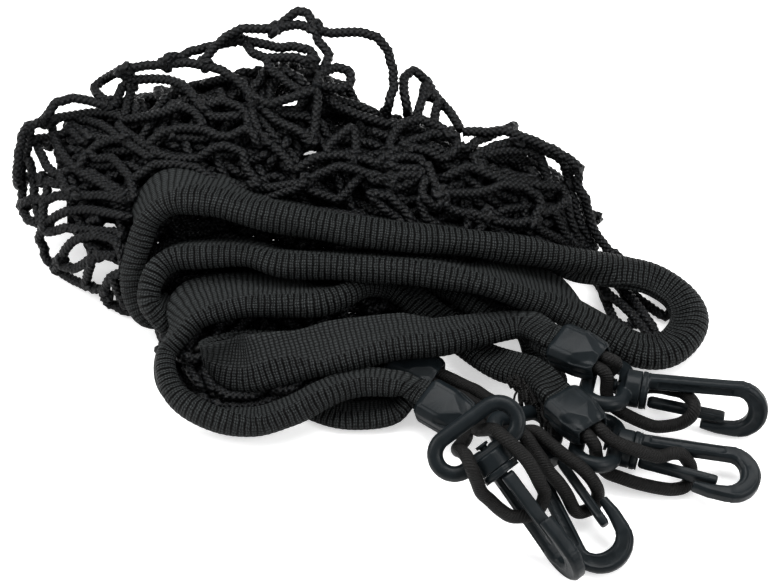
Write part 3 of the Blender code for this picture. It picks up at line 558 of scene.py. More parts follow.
# Inner tape, clamp 1 -> middle of the mouth -> turns back on itself -> clamp 4
TAPE_INNER = [(57, 1.5, 21.5, 4.6, 14, 0, 1, -0.1), (40, -2, 21, 5.2, 16, 0, 1, 0.1),
    (22, -7, 22, 5.2, 17, 0, 1, 0.3), (4, -10, 22, 5.2, 18, 0, 1, 0.3),
    (-16, -14, 21, 5, 19, 0, 0.9, 0.4), (-32, -18, 19, 4.8, 21, 0, 0.8, 0.5),
    (-47, -22, 17, 4.6, 24, 0, 0.7, 0.6), (-60, -24, 14, 4.2, 26, -0.1, 0.7, 0.7),
    (-70, -21, 12.5, 3.8, 25, -0.2, 0.6, 0.7), (-77, -13, 12, 3.4, 20, -0.2, 0.3, 0.9),
    (-74, -4, 12, 3, 12, 0, 0.2, 0.9), (-62, 0, 12, 2.8, 10, 0, 0.2, 1),
    (-44, 0, 12, 2.8, 10, 0, 0.4, 0.9), (-20, 0, 11.4, 2.8, 11, 0, 0.9, 0.4)]
# Rear tape, clamp 2 -> along the floor -> round inside the heap -> clamp 1
TAPE_REAR = [(73, -18, 10, 2.8, 13, -0.7, -0.6, 0), (72, -6, 4.6, 2.8, 13, -0.8, -0.5, 0),
    (70, 5, 3.6, 2.8, 14, -0.9, -0.3, 0), (66, 20, 3.6, 2.8, 14, -1, -0.1, 0),
    (52, 44, 6, 3.4, 16, -0.9, -0.2, 0.2), (34, 68, 16, 4.2, 18, -0.5, -0.8, 0.3),
    (-4, 82, 28, 4.8, 19, 0, -0.9, -0.2), (-50, 82, 33, 5, 20, 0, -1, -0.2),
    (-90, 85, 34, 5, 20, 0, -0.9, -0.5), (-118, 88, 34, 5, 19, 0, -0.4, -0.9),
    (-136, 96, 32, 5, 18, 0, 0, -1), (-130, 108, 30, 4.8, 18, 0, 0.2, -1),
    (-108, 104, 24, 4.8, 18, 0, 0.8, -0.6), (-70, 90, 16, 4.6, 18, 0, 1, 0),
    (-34, 69, 10, 4.2, 17, -0.2, 1, 0.1), (-4, 50, 9, 4, 16, 0, 1, 0),
    (16, 36, 13, 4.2, 15, 0.4, 0.9, 0), (25, 29, 17, 4.4, 14, 0.5, 0.8, 0),
    (35, 21, 16.5, 4.4, 13, 0.5, 0.8, 0), (46, 14, 13, 4, 12, 0.4, 0.9, 0),
    (58, 8, 11.5, 3.2, 12, 0.3, 0.9, 0)]
# Each tape with the clamp at its start and end, and the upper (+1) or lower (-1) place in it
TAPES = {
    "border_tape_front": (TAPE_FRONT, ("3", 1), ("2", 1)),
    "border_tape_long": (TAPE_LONG, ("3", -1), ("4", -1)),
    "border_tape_inner": (TAPE_INNER, ("1", 1), ("4", 1)),
    "border_tape_rear": (TAPE_REAR, ("2", -1), ("1", -1)),
}

# %% [markdown]
# ### The folded section
# Seen end on, the tape is a hairpin.  The outside runs from the edge of the upper ply, round the
# fold and back; the inside runs parallel to it one thickness in.  Closed at the edges, that makes
# a true sheet with two faces, bent once.

# %% Folded section
PLY = 1.9                                # thickness of the tape
TAIL = 2.3                               # half height of the two plies where they lie together
OUTER, INNER, LAST = 36, 10, 6           # points outside, inside, and on each flat end of a ply
FLAT_FROM = 0.62                         # share of the section where those flat ends start
section = np.concatenate([np.linspace(1, FLAT_FROM, LAST)[:-1],
                          np.linspace(FLAT_FROM, -FLAT_FROM, OUTER - 2 * LAST + 2),
                          np.linspace(-FLAT_FROM, -1, LAST)[1:]])


def hairpin(half, depth):
    """Outside of a fold `half` high: s back from its centre, n up, q along the section."""
    straight, bend = depth - half, math.pi * half / 2
    q = section * (bend + straight)
    a = np.clip(np.abs(q) / half, 0.0, math.pi / 2)
    past = np.maximum(np.abs(q) - bend, 0.0)
    ease = np.clip(past / max(straight, 1e-6), 0.0, 1.0)
    s = -half * np.cos(a) + past
    fall = (min(TAIL, half) - half) * (3 * ease ** 2 - 2 * ease ** 3)
    n = np.where(past > 0, half + fall, half * np.sin(a))
    return s, n * np.where(q >= 0, 1.0, -1.0), q


print(len(section), "points round the outside of the tape")

# %% [markdown]
# ### Where the knit goes
# The knit is as wide as the tape's fold in most places.  In the right-hand loop it covers the
# whole tape, on the top run it is rolled over towards the front, and in two places the plies hang
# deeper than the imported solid, because the tape has opened there.

# %% Spread of the knit
def rise(value, start, length):
    """0 up to `start`, 1 from `start + length`, straight in between."""
    return float(np.clip((value - start) / length, 0.0, 1.0))


def spread_of(name, row, heading):
    """How wide the knit is, how far it is rolled over, and how much deeper the plies hang."""
    x, high = row[0], row[2]
    if name == "border_tape_long":
        loop = rise(x, 60.0, 25.0)
        top = rise(-3.0 * heading, 0.0, 1.0) * rise(x, -98.0, 14.0) * (1.0 - loop) * (high > 24.0)
        middle = rise(x, 34.0, 10.0) * rise(-x, -80.0, 10.0) * (heading > 0.0 and high > 15.0)
        return 1.0 + 1.1 * loop + 0.25 * top, -3.4 * top, 14.0 * middle
    if name == "border_tape_front":
        return 1.0 + rise(x, 8.0, 12.0) * (heading > 0.0), 0.0, 0.0
    if name == "border_tape_inner":
        lip = rise(x, -36.0, 14.0) * rise(-x, -20.0, 12.0) * (heading < 0.0)
        return 1.0 + 0.6 * rise(-x, 30.0, 12.0) + 0.35 * rise(x, -20.0, 30.0), 0.0, 3.0 * lip
    return 1.0, 0.0, 0.0


print("knit of the long tape at its loop:", spread_of("border_tape_long", (100, 0, 18), -1.0))

# %% [markdown]
# ### Ribs and puffs
# A ring of the tape moves out where a rib stands and in between two ribs.  Two slow waves puff the
# fold, since the net's edge inside it is lumpy.  Off the knit the tape is thinner.

# %% Tape rings
KNIT_HALF, KNIT_EDGE = 9.3, 0.9          # half the knit's width, and the step at its edge
RIB_OUT, KNIT_IN, PLY_IN = 0.34, 0.35, 0.40


def tape_rings(name, path, ends, phase):
    """Rings of the knitted, folded tape, with the run, girth and knit value of their points."""
    tangent = unit(np.gradient(path[:, :3], axis=0))
    tangent[0], tangent[-1] = ends
    back = unit(path[:, 5:8] - tangent * np.sum(path[:, 5:8] * tangent, axis=1, keepdims=True))
    up = np.cross(tangent, back)
    run = run_along(path[:, :3])
    rings, girth, knits = [], [], []
    for i, row in enumerate(path):
        wide, shift, flare = spread_of(name, row, tangent[i][0])
        half = row[3] * (1.0 + 0.09 * math.sin(run[i] / 11.0 + 3 * phase)
                         * math.sin(run[i] / 27.0))
        s, n, q = hairpin(half, row[4] + flare)
        ds, dn = np.gradient(s), np.gradient(n)
        size = np.hypot(ds, dn)
        ns, nn = dn / size, -ds / size                       # points away from the tape
        knit = np.clip((KNIT_HALF * wide - np.abs(q - shift)) / KNIT_EDGE, 0.0, 1.0)
        rib = abs(math.sin(math.pi * run[i] / RIB + math.pi / 6)) ** 0.6
        puff = 0.55 * math.sin(run[i] / 8.0 + phase) * np.sin(q / 3.6 + run[i] / 19.0)
        puff += 0.60 * math.sin(run[i] / 21.0 + 2 * phase) * np.cos(q / 9.0)
        out = knit * (RIB_OUT * rib - KNIT_IN + puff) - (1 - knit) * PLY_IN
        pick = np.linspace(len(s) - 1, 0, INNER).round().astype(int)
        si, ni = (s - ns * PLY)[pick], (n - nn * PLY)[pick]
        ni = np.where(pick < len(s) / 2, np.maximum(ni, 0.3), np.minimum(ni, -0.3))
        ring_s = np.concatenate([s + ns * out, np.maximum(si, -half + PLY)])
        ring_n = np.concatenate([n + nn * out, ni])
        rings.append(path[i, :3] + back[i] * ring_s[:, None] + up[i] * ring_n[:, None])
        knits.append(np.concatenate([knit, np.zeros(INNER)]))
        v = 19 - q
        girth.append(np.concatenate([v, np.linspace(v[-1], v[0], INNER), v[:1]]))
    return np.array(rings), run, np.array(girth), np.array(knits)


print("ribs stand", RIB_OUT, "mm out of the knit")

# %% [markdown]
# ### Sewing the four tapes
# A tape starts and ends square to the back of a clamp, on the upper or the lower half of its mouth.
# Three rings make one rib.  Along the way its height wanders a little, as slack cloth does.

# %% Four tapes
CAST = 0.867                             # millimetres from ring to ring
END_HALF, END_DEEP = 2.5, 12.0           # of the squeezed fold behind a clamp


def tape_ends(tag, layer, neighbour):
    """Two straight rows behind a clamp, so that the tape ends square to its face."""
    centre, x, y, z = clamp_frame(tag)
    back = y if y.dot(np.array(neighbour)) > 0 else -y
    return [(*(centre - x * (FERRULE_LONG / 2 + away) + z * layer * (END_HALF + 0.35)
               - back * (END_DEEP / 2 - END_HALF)), END_HALF, END_DEEP, *back)
            for away in (0.35, 5.35)]


for name, (table, start, end) in TAPES.items():
    rows = tape_ends(*start, table[0][5:]) + table + tape_ends(*end, table[-1][5:])[::-1]
    path = smooth_path(rows, CAST)
    count = np.arange(len(path))
    wander = np.sin(count * CAST / 37.0 + len(name)) * 0.35
    path[:, 2] += wander * np.clip(np.minimum(count, count[::-1]) / 60, 0, 1)
    ends = (-clamp_frame(start[0])[1], clamp_frame(end[0])[1])
    rings, run, girth, knits = tape_rings(name, path, ends, 0.6 + len(name))
    skin = Skin()
    skin.add(rings, run, girth, knits)
    piece = skin.build(name.replace("border_tape", "webbing"), webbing_black)
    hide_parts(name)
    print(name, round(float(run[-1])), "mm of folded tape")

# %% [markdown]
# ### Frayed end
# Beside clamp 2 the cut end of the tape has come undone: a tuft of bent yarns hangs from its edge.
# Each yarn is a thin tube with a slow random bend, long next to the clamp and in one place behind
# it, short elsewhere.

# %% Frayed yarns
YARNS, BIT = 110, 1.7                    # number of yarns, and millimetres to each bit of one
tuft = Skin()
centre, x_axis, y_axis, z_axis = clamp_frame("2")
for _ in range(YARNS):
    back, beside = rng.uniform(1.0, 26.0), rng.uniform(-2.5, 2.0)
    spot = (centre - x_axis * (FERRULE_LONG / 2 + back) - y_axis * (6.5 + beside)
            + z_axis * rng.uniform(-5.0, 0.0))
    way = unit(np.array([0.35, -0.80, -0.45]) + rng.normal(0.0, 0.20, 3))
    points = [spot]
    for _ in range(int(rng.uniform(5, 10) if back < 8.0 or 16.0 < back < 21.0
                       else rng.uniform(2, 4))):
        way = unit(way + rng.normal(0.0, 0.14, 3))
        points.append(points[-1] + way * BIT)
    yarn = smooth_path(points, 0.8)
    tuft.add(rings_round(yarn, *carried_frames(yarn), rng.uniform(0.45, 0.8), 5),
             0.8 * np.arange(len(yarn)), np.linspace(0.0, 2.4, 6))
fray = tuft.build("webbing_fray", elastic_black)

# %% [markdown]
# ## The bunched net
# The net is knotted from braided cord.  Bunched up it lies in loose arcs on top and fills out with
# strand over strand below.  The strands seen from the front are given one by one in a table; the
# hidden ones are laid by a random walk over the heap, which is how slack cord falls.

# %% Strands given in a table
LAID = {
    "edge_left_top": [(-170, 83, 37), (-168, 90, 47), (-166, 94, 52), (-161, 97, 54),
        (-153, 101, 53), (-142, 102, 54), (-131, 101, 57), (-121, 96, 59)],
    "crown_left": [(-154, 98, 60), (-150, 102, 63), (-143, 104, 63), (-136, 104, 61),
        (-128, 101, 61)],
    "ear_left": [(-125, 101, 61), (-131, 105, 62), (-135, 110, 62), (-134, 115, 61),
        (-130, 117, 63), (-124, 115, 69)],
    "crown": [(-122, 107, 76), (-115, 110, 76), (-102, 112, 76), (-91, 112, 77), (-79, 109, 77),
        (-72, 104, 77), (-64, 97, 75), (-61, 91, 74), (-54, 88, 73), (-45, 89, 76), (-38, 91, 78),
        (-33, 93, 78)],
    "crown_arc": [(-122, 109, 74), (-116, 108, 70), (-106, 108, 71), (-96, 105, 72), (-89, 98, 72),
        (-84, 90, 69), (-77, 85, 68), (-71, 84, 70)],
    "crown_link": [(-125, 100, 61), (-122, 109, 64), (-117, 113, 66)],
    "peak_left": [(-100, 113, 80), (-95, 115, 77), (-89, 119, 78), (-79, 120, 80), (-70, 121, 82),
        (-66, 122, 83)],
    "peak_long": [(-84, 111, 78), (-78, 117, 83), (-68, 121, 89), (-58, 122, 88), (-51, 122, 88),
        (-44, 123, 90), (-37, 122, 90), (-32, 120, 89), (-26, 119, 88), (-15, 119, 89),
        (-7, 118, 88), (-2, 115, 84), (1, 110, 78), (2, 102, 72), (0, 96, 69)],
    "peak_loop": [(-53, 121, 87), (-49, 124, 88), (-46, 127, 91), (-40, 129, 94), (-36, 126, 92),
        (-34, 121, 90), (-32, 116, 86), (-28, 112, 84), (-27, 107, 82), (-30, 103, 81)],
    "peak_under": [(-66, 120, 83), (-62, 114, 81), (-55, 110, 81), (-44, 109, 83), (-36, 106, 83),
        (-31, 102, 80)],
    "peak_inner": [(-61, 120, 83), (-51, 115, 83), (-41, 114, 85), (-33, 110, 83)],
    "eye_right": [(-33, 95, 78), (-31, 102, 80), (-23, 106, 80), (-18, 105, 78), (-17, 100, 75),
        (-23, 97, 75), (-30, 96, 77)],
    "eye_tail": [(-54, 105, 79), (-48, 101, 78), (-44, 96, 77), (-38, 92, 77)],
    "fall_a": [(-61, 92, 73), (-61, 85, 69), (-58, 77, 66), (-50, 70, 63), (-44, 65, 61)],
    "fall_b": [(-58, 90, 72), (-50, 82, 69), (-40, 77, 68), (-33, 72, 64)],
    "arc_small": [(-118, 93, 60), (-111, 91, 63), (-100, 91, 66), (-94, 92, 69), (-88, 90, 69),
        (-83, 84, 67)],
    "wave_long": [(-123, 92, 58), (-115, 83, 58), (-107, 76, 59), (-99, 70, 58), (-89, 69, 58),
        (-82, 69, 60), (-77, 72, 64), (-70, 71, 64), (-65, 69, 63), (-63, 63, 58), (-57, 56, 54)],
    "wave_top": [(-106, 78, 61), (-100, 81, 64), (-92, 82, 65), (-82, 80, 66), (-73, 75, 65),
        (-65, 78, 68), (-60, 77, 68), (-59, 72, 64)],
    "wave_low": [(-110, 65, 53), (-107, 68, 55), (-99, 68, 57), (-91, 67, 57), (-83, 64, 56),
        (-78, 59, 53), (-70, 57, 52), (-61, 57, 53), (-52, 55, 54), (-45, 56, 55), (-35, 56, 56)],
    "left_arch": [(-141, 76, 45), (-136, 82, 50), (-129, 85, 54), (-120, 84, 57), (-114, 78, 57),
        (-105, 71, 57)],
    "left_fall": [(-155, 101, 48), (-150, 88, 46), (-141, 77, 44), (-129, 68, 45), (-120, 59, 44),
        (-114, 56, 46)],
    "left_cross": [(-145, 99, 51), (-135, 90, 52), (-126, 87, 54)],
    "left_cross_b": [(-144, 103, 52), (-136, 98, 54), (-128, 92, 56), (-119, 82, 56)],
    "rim_a": [(-163, 95, 53), (-166, 94, 40), (-170, 90, 30), (-169, 80, 22), (-167, 71, 19),
        (-159, 65, 20)],
    "rim_b": [(-165, 91, 36), (-163, 83, 31), (-162, 75, 26), (-159, 66, 21)],
    "rim_c": [(-157, 82, 35), (-155, 75, 33), (-158, 70, 28), (-157, 64, 22)],
    "rim_rung": [(-168, 75, 25), (-161, 74, 28), (-155, 71, 31), (-149, 70, 35), (-141, 66, 37)],
    "rim_rung_b": [(-171, 93, 23), (-163, 85, 32), (-156, 79, 35), (-149, 73, 38)],
    "low_rim": [(-158, 64, 20), (-161, 64, 13), (-159, 63, 8), (-159, 60, 2), (-155, 58, 2)],
    "low_top": [(-156, 60, 20), (-147, 58, 26), (-139, 53, 30), (-128, 49, 33), (-119, 45, 36)],
    "low_arch": [(-153, 53, 2), (-149, 50, 14), (-143, 50, 25), (-132, 48, 32), (-123, 43, 34)],
    "low_edge": [(-153, 54, 2), (-144, 46, 4), (-135, 39, 7), (-128, 34, 10), (-125, 31, 7)],
    "low_rung": [(-147, 47, 11), (-138, 42, 18), (-131, 41, 26), (-123, 38, 29), (-117, 39, 34)],
    "low_rung_b": [(-138, 40, 8), (-135, 40, 17), (-133, 40, 25)],
    "low_side": [(-128, 32, 11), (-125, 32, 20), (-118, 31, 26)],
    "tail_a": [(-129, 33, 13), (-128, 33, 4), (-124, 32, 2), (-122, 30, 2), (-118, 28, 2),
        (-111, 28, 2)],
    "tail_b": [(-123, 31, 21), (-121, 29, 14), (-117, 28, 6), (-110, 27, 2)],
    "tail_loop": [(-126, 92, 2), (-128, 92, 2), (-124, 92, 2), (-120, 95, 2)],
    "tail_c": [(-121, 42, 34), (-119, 39, 33), (-118, 34, 28), (-117, 30, 20), (-116, 27, 12)],
    "mid_a": [(-45, 61, 58), (-38, 63, 60), (-32, 66, 63), (-21, 67, 63), (-10, 66, 61),
        (1, 62, 57), (8, 59, 54)],
    "mid_b": [(-57, 52, 49), (-50, 53, 52), (-40, 55, 55), (-30, 60, 59), (-21, 62, 61),
        (-10, 60, 58), (3, 57, 55)],
    "mid_c": [(-57, 52, 48), (-45, 49, 46), (-33, 49, 46), (-23, 48, 45), (-13, 46, 44),
        (-5, 44, 42)],
    "mid_d": [(-39, 57, 55), (-30, 53, 52), (-21, 52, 50), (-16, 58, 55), (-13, 60, 56)],
    "mid_up": [(-34, 72, 64), (-33, 81, 69), (-32, 90, 75), (-33, 96, 78)],
    "mid_eye": [(-28, 69, 65), (-23, 74, 67), (-18, 78, 69), (-15, 77, 68), (-15, 70, 63)],
    "left_mid_a": [(-149, 77, 40), (-146, 70, 38), (-137, 65, 39), (-128, 62, 43), (-116, 57, 45)],
    "left_mid_b": [(-138, 77, 44), (-131, 71, 45), (-124, 65, 45), (-116, 58, 46)],
    "left_mid_c": [(-132, 79, 48), (-125, 78, 51), (-120, 72, 51), (-115, 65, 50), (-113, 57, 47)],
    "left_mid_d": [(-157, 64, 21), (-149, 63, 30), (-137, 60, 36), (-127, 55, 39), (-119, 51, 41)],
    "left_mid_e": [(-160, 91, 43), (-156, 84, 39), (-150, 78, 39), (-144, 78, 43)],
    "left_mid_f": [(-160, 97, 44), (-151, 96, 47), (-145, 96, 51), (-138, 87, 50)],
    "back_a": [(-117, 109, 64), (-119, 101, 61), (-120, 94, 58)],
    "back_b": [(-83, 91, 69), (-76, 93, 71), (-69, 91, 71), (-63, 85, 69), (-62, 79, 66)],
    "small_loop": [(7, 98, 67), (6, 103, 69), (6, 109, 70), (10, 114, 71), (14, 113, 69),
        (17, 110, 68), (18, 105, 65), (21, 101, 63)],
    "small_loop_leg": [(17, 111, 67), (15, 102, 66), (13, 94, 65)],
    "small_loop_run": [(18, 105, 65), (24, 99, 64), (29, 93, 61), (32, 86, 59)],
    "small_loop_twig": [(21, 97, 66), (20, 91, 62)],
    "ridge": [(32, 86, 59), (39, 86, 59), (43, 85, 59), (51, 85, 61), (58, 82, 60), (64, 80, 59),
        (72, 77, 57), (78, 74, 55), (82, 72, 53), (84, 70, 51)],
    "shoulder": [(-1, 74, 63), (2, 80, 64), (8, 86, 66), (15, 87, 65), (21, 86, 63), (26, 83, 61),
        (31, 79, 59), (28, 73, 58)],
    "shoulder_in": [(7, 75, 62), (14, 79, 62), (20, 82, 62), (26, 82, 59)],
    "lens_left": [(0, 65, 61), (5, 68, 61), (11, 69, 60), (15, 67, 58), (16, 65, 56), (11, 63, 57),
        (4, 63, 58), (-1, 64, 61)],
    "lens_over": [(-6, 64, 60), (1, 70, 62), (9, 73, 62), (17, 72, 60), (23, 70, 57)],
    "twist": [(16, 66, 58), (19, 59, 55), (23, 52, 52), (23, 49, 50), (21, 48, 49), (14, 51, 52),
        (14, 56, 54), (17, 58, 56)],
    "big_eye": [(25, 54, 52), (32, 55, 51), (38, 56, 50), (44, 58, 50), (51, 61, 51), (59, 62, 48),
        (65, 61, 45), (68, 58, 42), (67, 55, 40), (63, 50, 38), (54, 48, 39), (46, 47, 42),
        (42, 49, 45)],
    "brow": [(26, 62, 55), (34, 66, 57), (39, 66, 55), (46, 64, 52), (54, 64, 49), (62, 65, 47),
        (71, 66, 44), (77, 68, 42), (79, 66, 40), (79, 62, 38), (73, 58, 37), (68, 55, 38)],
    "upper_eye": [(37, 71, 57), (46, 76, 56), (55, 79, 54), (65, 80, 52), (69, 77, 48),
        (71, 72, 44), (71, 69, 43)],
    "ridge_leg": [(34, 76, 57), (39, 83, 56), (45, 87, 55), (51, 90, 56)],
    "upper_over": [(36, 70, 57), (45, 77, 57), (53, 82, 56), (61, 83, 55), (71, 80, 52),
        (79, 77, 47), (81, 75, 37)],
    "drop_a": [(85, 74, 47), (84, 71, 41), (88, 67, 35), (90, 64, 29), (91, 61, 25), (94, 58, 20),
        (99, 54, 16), (103, 51, 14)],
    "drop_b": [(81, 77, 47), (81, 73, 39), (83, 67, 33), (85, 62, 27), (90, 58, 19), (94, 57, 12)],
    "drop_c": [(79, 64, 37), (81, 59, 29), (85, 56, 21), (91, 55, 14)],
    "drop_d": [(73, 58, 36), (77, 55, 29), (82, 52, 21)],
    "front_a": [(-9, 53, 54), (-3, 53, 53), (4, 50, 50), (9, 45, 44), (13, 41, 38), (11, 40, 33)],
    "front_b": [(14, 40, 39), (22, 39, 35), (32, 40, 34), (38, 42, 36), (41, 46, 41), (38, 48, 44),
        (33, 47, 44)],
    "front_c": [(13, 52, 51), (15, 46, 45), (21, 44, 41), (27, 42, 37), (34, 44, 39), (35, 46, 43)],
    "front_d": [(11, 39, 36), (17, 38, 33), (26, 38, 32), (32, 39, 33), (40, 41, 36)],
    "front_e": [(23, 50, 49), (30, 48, 46), (36, 48, 45), (43, 47, 43)],
    "front_f": [(-9, 58, 56), (-1, 58, 56), (7, 61, 57), (14, 61, 55)],
    "front_g": [(-3, 53, 51), (3, 57, 53), (11, 60, 54)],
    "front_h": [(-9, 52, 52), (-1, 48, 47), (11, 42, 39), (12, 39, 30), (10, 39, 23)],
    "front_i": [(42, 50, 43), (45, 47, 38), (53, 45, 32), (62, 46, 31)],
    "front_j": [(63, 52, 36), (69, 51, 30), (76, 52, 25), (86, 54, 18)],
}
# Strands across the right-hand loop of the border, and on the floor under its middle run
CROSSING = {
    "crossing_a": [(66, 66, 16), (77, 60, 8), (87, 54, 3), (95, 46, 2.6), (97.5, 35, 2.6),
        (100, 24, 2.6), (105, 18.5, 2.6), (110, 22, 2.6), (108, 31, 2.6), (106, 40, 2.6),
        (101, 50, 2.6), (92, 60, 3), (80, 66, 12)],
    "crossing_b": [(98, 53, 2.6), (105, 46, 2.6), (110.5, 38, 2.6), (117, 31, 2.6), (123, 25, 2.6),
        (127.5, 28, 2.6), (127, 34, 2.6), (121, 40, 2.6), (113, 48, 2.6), (104, 56, 2.6),
        (94, 62, 4)],
    "crossing_c": [(93, 58, 4), (101, 46, 7), (106, 37, 7.2), (111, 28, 7), (115, 20, 6),
        (119, 12, 4), (121, 7, 4)],
    "crossing_d": [(84, 62, 5), (93.5, 48, 7), (96, 37, 7.2), (104, 28, 7.4), (112, 17, 6),
        (115, 10, 5), (117, 5, 5)],
    "floor_a": [(-34, 31, 3), (-18, 30, 3), (-5, 28, 3.5), (8, 31, 4), (22, 34, 4), (32, 30, 4),
        (41, 26, 4), (50, 29, 3), (58, 38, 3)],
    "floor_b": [(-40, 24, 3), (-30, 25, 3), (-9, 24, 3), (6, 25, 5), (16, 30, 6), (28, 28, 6),
        (38, 33, 5), (50, 42, 4)],
    "floor_d": [(-34, -25, 3), (-24, -24, 3), (-12, -23.5, 3), (0, -23.5, 3), (12, -22, 4)],
    "floor_e": [(-36, -8, 4), (-24, -12, 7), (-10, -13, 8), (4, -11, 6), (12, -6, 4)],
    "floor_f": [(-72, -26, 3), (-82, -22, 4), (-88, -14, 5), (-89, -4, 6), (-84, 4, 5),
        (-76, 8, 4)],
    "floor_g": [(-66, -20, 4), (-78, -18, 7), (-84, -9, 8), (-82, 1, 8), (-74, 10, 6)],
    "floor_h": [(-52, 44, 3), (-40, 43, 4), (-30, 44, 5), (-18, 41, 4), (-6, 42, 4)],
    "floor_c": [(-14, 36, 3), (-6, 33, 6), (2, 28, 7), (14, 36, 5), (26, 39, 5), (36, 24, 6),
        (46, 22, 4)],
}
print(len(LAID) + len(CROSSING), "strands laid by hand")

# %% [markdown]
# ### The outline of the heap
# The heap thins out towards its rim, where single strands show.  Three tables say how far its dense
# part goes, and which openings stay clear.  They count x and the height across the line of sight,
# which mixes height and depth by the camera's tilt.

# %% Dense part and openings
RISE, DROP = 0.743, 0.669                # sine and cosine of the camera's tilt
# Upper edge of the dense part.  Columns: x, height across the line of sight.
DENSE_TOP = np.array([(-172, 94), (-152, 111), (-135, 117), (-122, 123), (-104, 129), (-89, 129),
    (-76, 131), (-65, 136), (-48, 140), (-35, 137), (-24, 129), (-17, 123), (-9, 116), (4, 113),
    (13, 110), (26, 101), (39, 98), (57, 96), (74, 89), (84, 80), (95, 58)], float)
# Left edge of the dense part.  Columns: height across the line of sight, x.
DENSE_LEFT = np.array([(0, -110), (28, -124), (50, -134), (62, -140), (76, -152), (95, -154),
    (110, -150)], float)
# Openings that stay clear between strands.  Columns: x, height across the line of sight, radius.
CLEAR = np.array([(-86, 136, 5), (-73, 135, 4.5), (-41, 150, 3), (-46, 121, 5.5), (-65, 107, 2),
    (-22, 123, 3.5), (-157, 76, 3), (-151, 74, 3), (-156, 65, 3), (-145, 50, 4), (-138, 46, 4),
    (-127, 60, 3), (-128, 40, 4), (-113, 23, 5), (-113, 31, 3), (-13, 137, 9), (-5, 127, 5),
    (82, 72, 3), (-172, 110, 14), (-116, 139, 6)], float)
print(len(CLEAR), "openings stay clear")

# %% [markdown]
# ### The space of the heap
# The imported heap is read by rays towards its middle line, from the back floor over the ridge to
# the front.  Hidden strands stay inside that space, and below the edge of the dense part.

# %% Heap space
def packed_tree(names):
    """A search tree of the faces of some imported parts, in the tables' millimetres."""
    points, faces = [], []
    for name in names:
        data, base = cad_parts[name].data, len(points)
        points += [(np.array(v.co) / MM - SHIFT).tolist() for v in data.vertices]
        faces += [tuple(i + base for i in p.vertices) for p in data.polygons]
    return BVHTree.FromPolygons(points, faces)


STEP = 4.0                               # between the beads of a strand
GRID, FAN = 4.0, math.radians(6.0)       # between two slices of the heap, and two rays of a slice
MIDDLE, FAR = 8.0, 300.0                 # height of the middle line, and where the rays start
heap_tree = packed_tree(["net_heap"])
heap_x = np.arange(-170.0, 95.0, GRID)
heap_turn = np.radians(np.arange(4.0, 180.0, 6.0))
middle_y = np.interp(heap_x, [-172, -150, -117, -60, 0, 40, 72, 95],
                     [102, 98, 94, 100, 92, 82, 76, 68])
reach = np.zeros((len(heap_x), len(heap_turn)))
for i, x in enumerate(heap_x):
    for k, turn in enumerate(heap_turn):
        way = Vector((0.0, math.cos(turn), math.sin(turn)))
        hit = heap_tree.ray_cast(Vector((x, middle_y[i], MIDDLE)) + way * FAR, -way)
        reach[i, k] = FAR - hit[3] if hit[0] else 10.0
padded = np.pad(reach, 1, mode="edge")
reach = np.median([padded[i:i + len(heap_x), k:k + len(heap_turn)]
                   for i in range(3) for k in range(3)], axis=0)
slope = RISE * np.cos(heap_turn) + DROP * np.sin(heap_turn)
room = (np.interp(heap_x, *DENSE_TOP.T)[:, None] - 2.5
        - (RISE * middle_y[:, None] + DROP * MIDDLE))
ceiling = np.where(slope > 0.05, room / np.maximum(slope, 0.05), FAR)
reach = np.minimum(reach, np.maximum(ceiling, 12.0))


def space(x, turn):
    """How far the heap goes from its middle line at (x, turn)."""
    i = np.clip((x - heap_x[0]) / GRID, 0, len(heap_x) - 1.001)
    k = np.clip((turn - heap_turn[0]) / FAN, 0, len(heap_turn) - 1.001)
    i0, k0 = i.astype(int), k.astype(int)
    i, k = i - i0, k - k0
    return ((1 - i) * (1 - k) * reach[i0, k0] + i * (1 - k) * reach[i0 + 1, k0]
            + (1 - i) * k * reach[i0, k0 + 1] + i * k * reach[i0 + 1, k0 + 1])


print("heap reaches", round(float(reach.max())), "mm from its middle line")

# %% [markdown]
# ### Ends of the laid strands
# Cord never stops in mid-air.  Where a laid strand ends close to another one, it is tied to it; any
# other end bends away from the eye and goes down into the heap.

# %% Laid strands
LOOK = np.array([0.0, DROP, -RISE])
TIE_NEAR = 6.0
drawn = {name: smooth_path(rows, 2.0) for name, rows in LAID.items()}


def dive(name):
    rows = np.array(LAID[name], float)
    others = np.vstack([line for other, line in drawn.items() if other != name])
    for _ in range(2):
        rows = rows[::-1]
        apart = np.linalg.norm(others - rows[-1], axis=1)
        if apart.min() < TIE_NEAR:
            rows = np.vstack([rows, others[apart.argmin()]]) if apart.min() > 1.0 else rows
            continue
        ahead = unit(rows[-1] - rows[-2])
        tail = [rows[-1] + ahead * a + LOOK * b
                for a, b in ((3.5, 1.5), (6.0, 6.0), (6.5, 12.0), (5.0, 20.0))]
        rows = np.vstack([rows] + [t for t in tail if t[2] > 2.6])
    return rows


laid = [smooth_path(dive(name), STEP) for name in LAID]
laid += [smooth_path(rows, STEP) for rows in CROSSING.values()]
print(round(sum(len(s) for s in laid) * STEP / 1000, 1), "m laid by hand")

# %% [markdown]
# ### Hidden strands
# Each walk keeps its heading with a slow random turn and turns back at the ends of the heap.  The
# layers lie at shrinking shares of the heap's space, so the outermost one backs the laid strands.

# %% Random walks
LAYERS = ((0.98, 31), (0.90, 25), (0.79, 13), (0.62, 8), (0.36, 4))    # share and number of walks
RIGHT_END = 86.0
TURN_LOW, TURN_HIGH = 0.10, 3.0


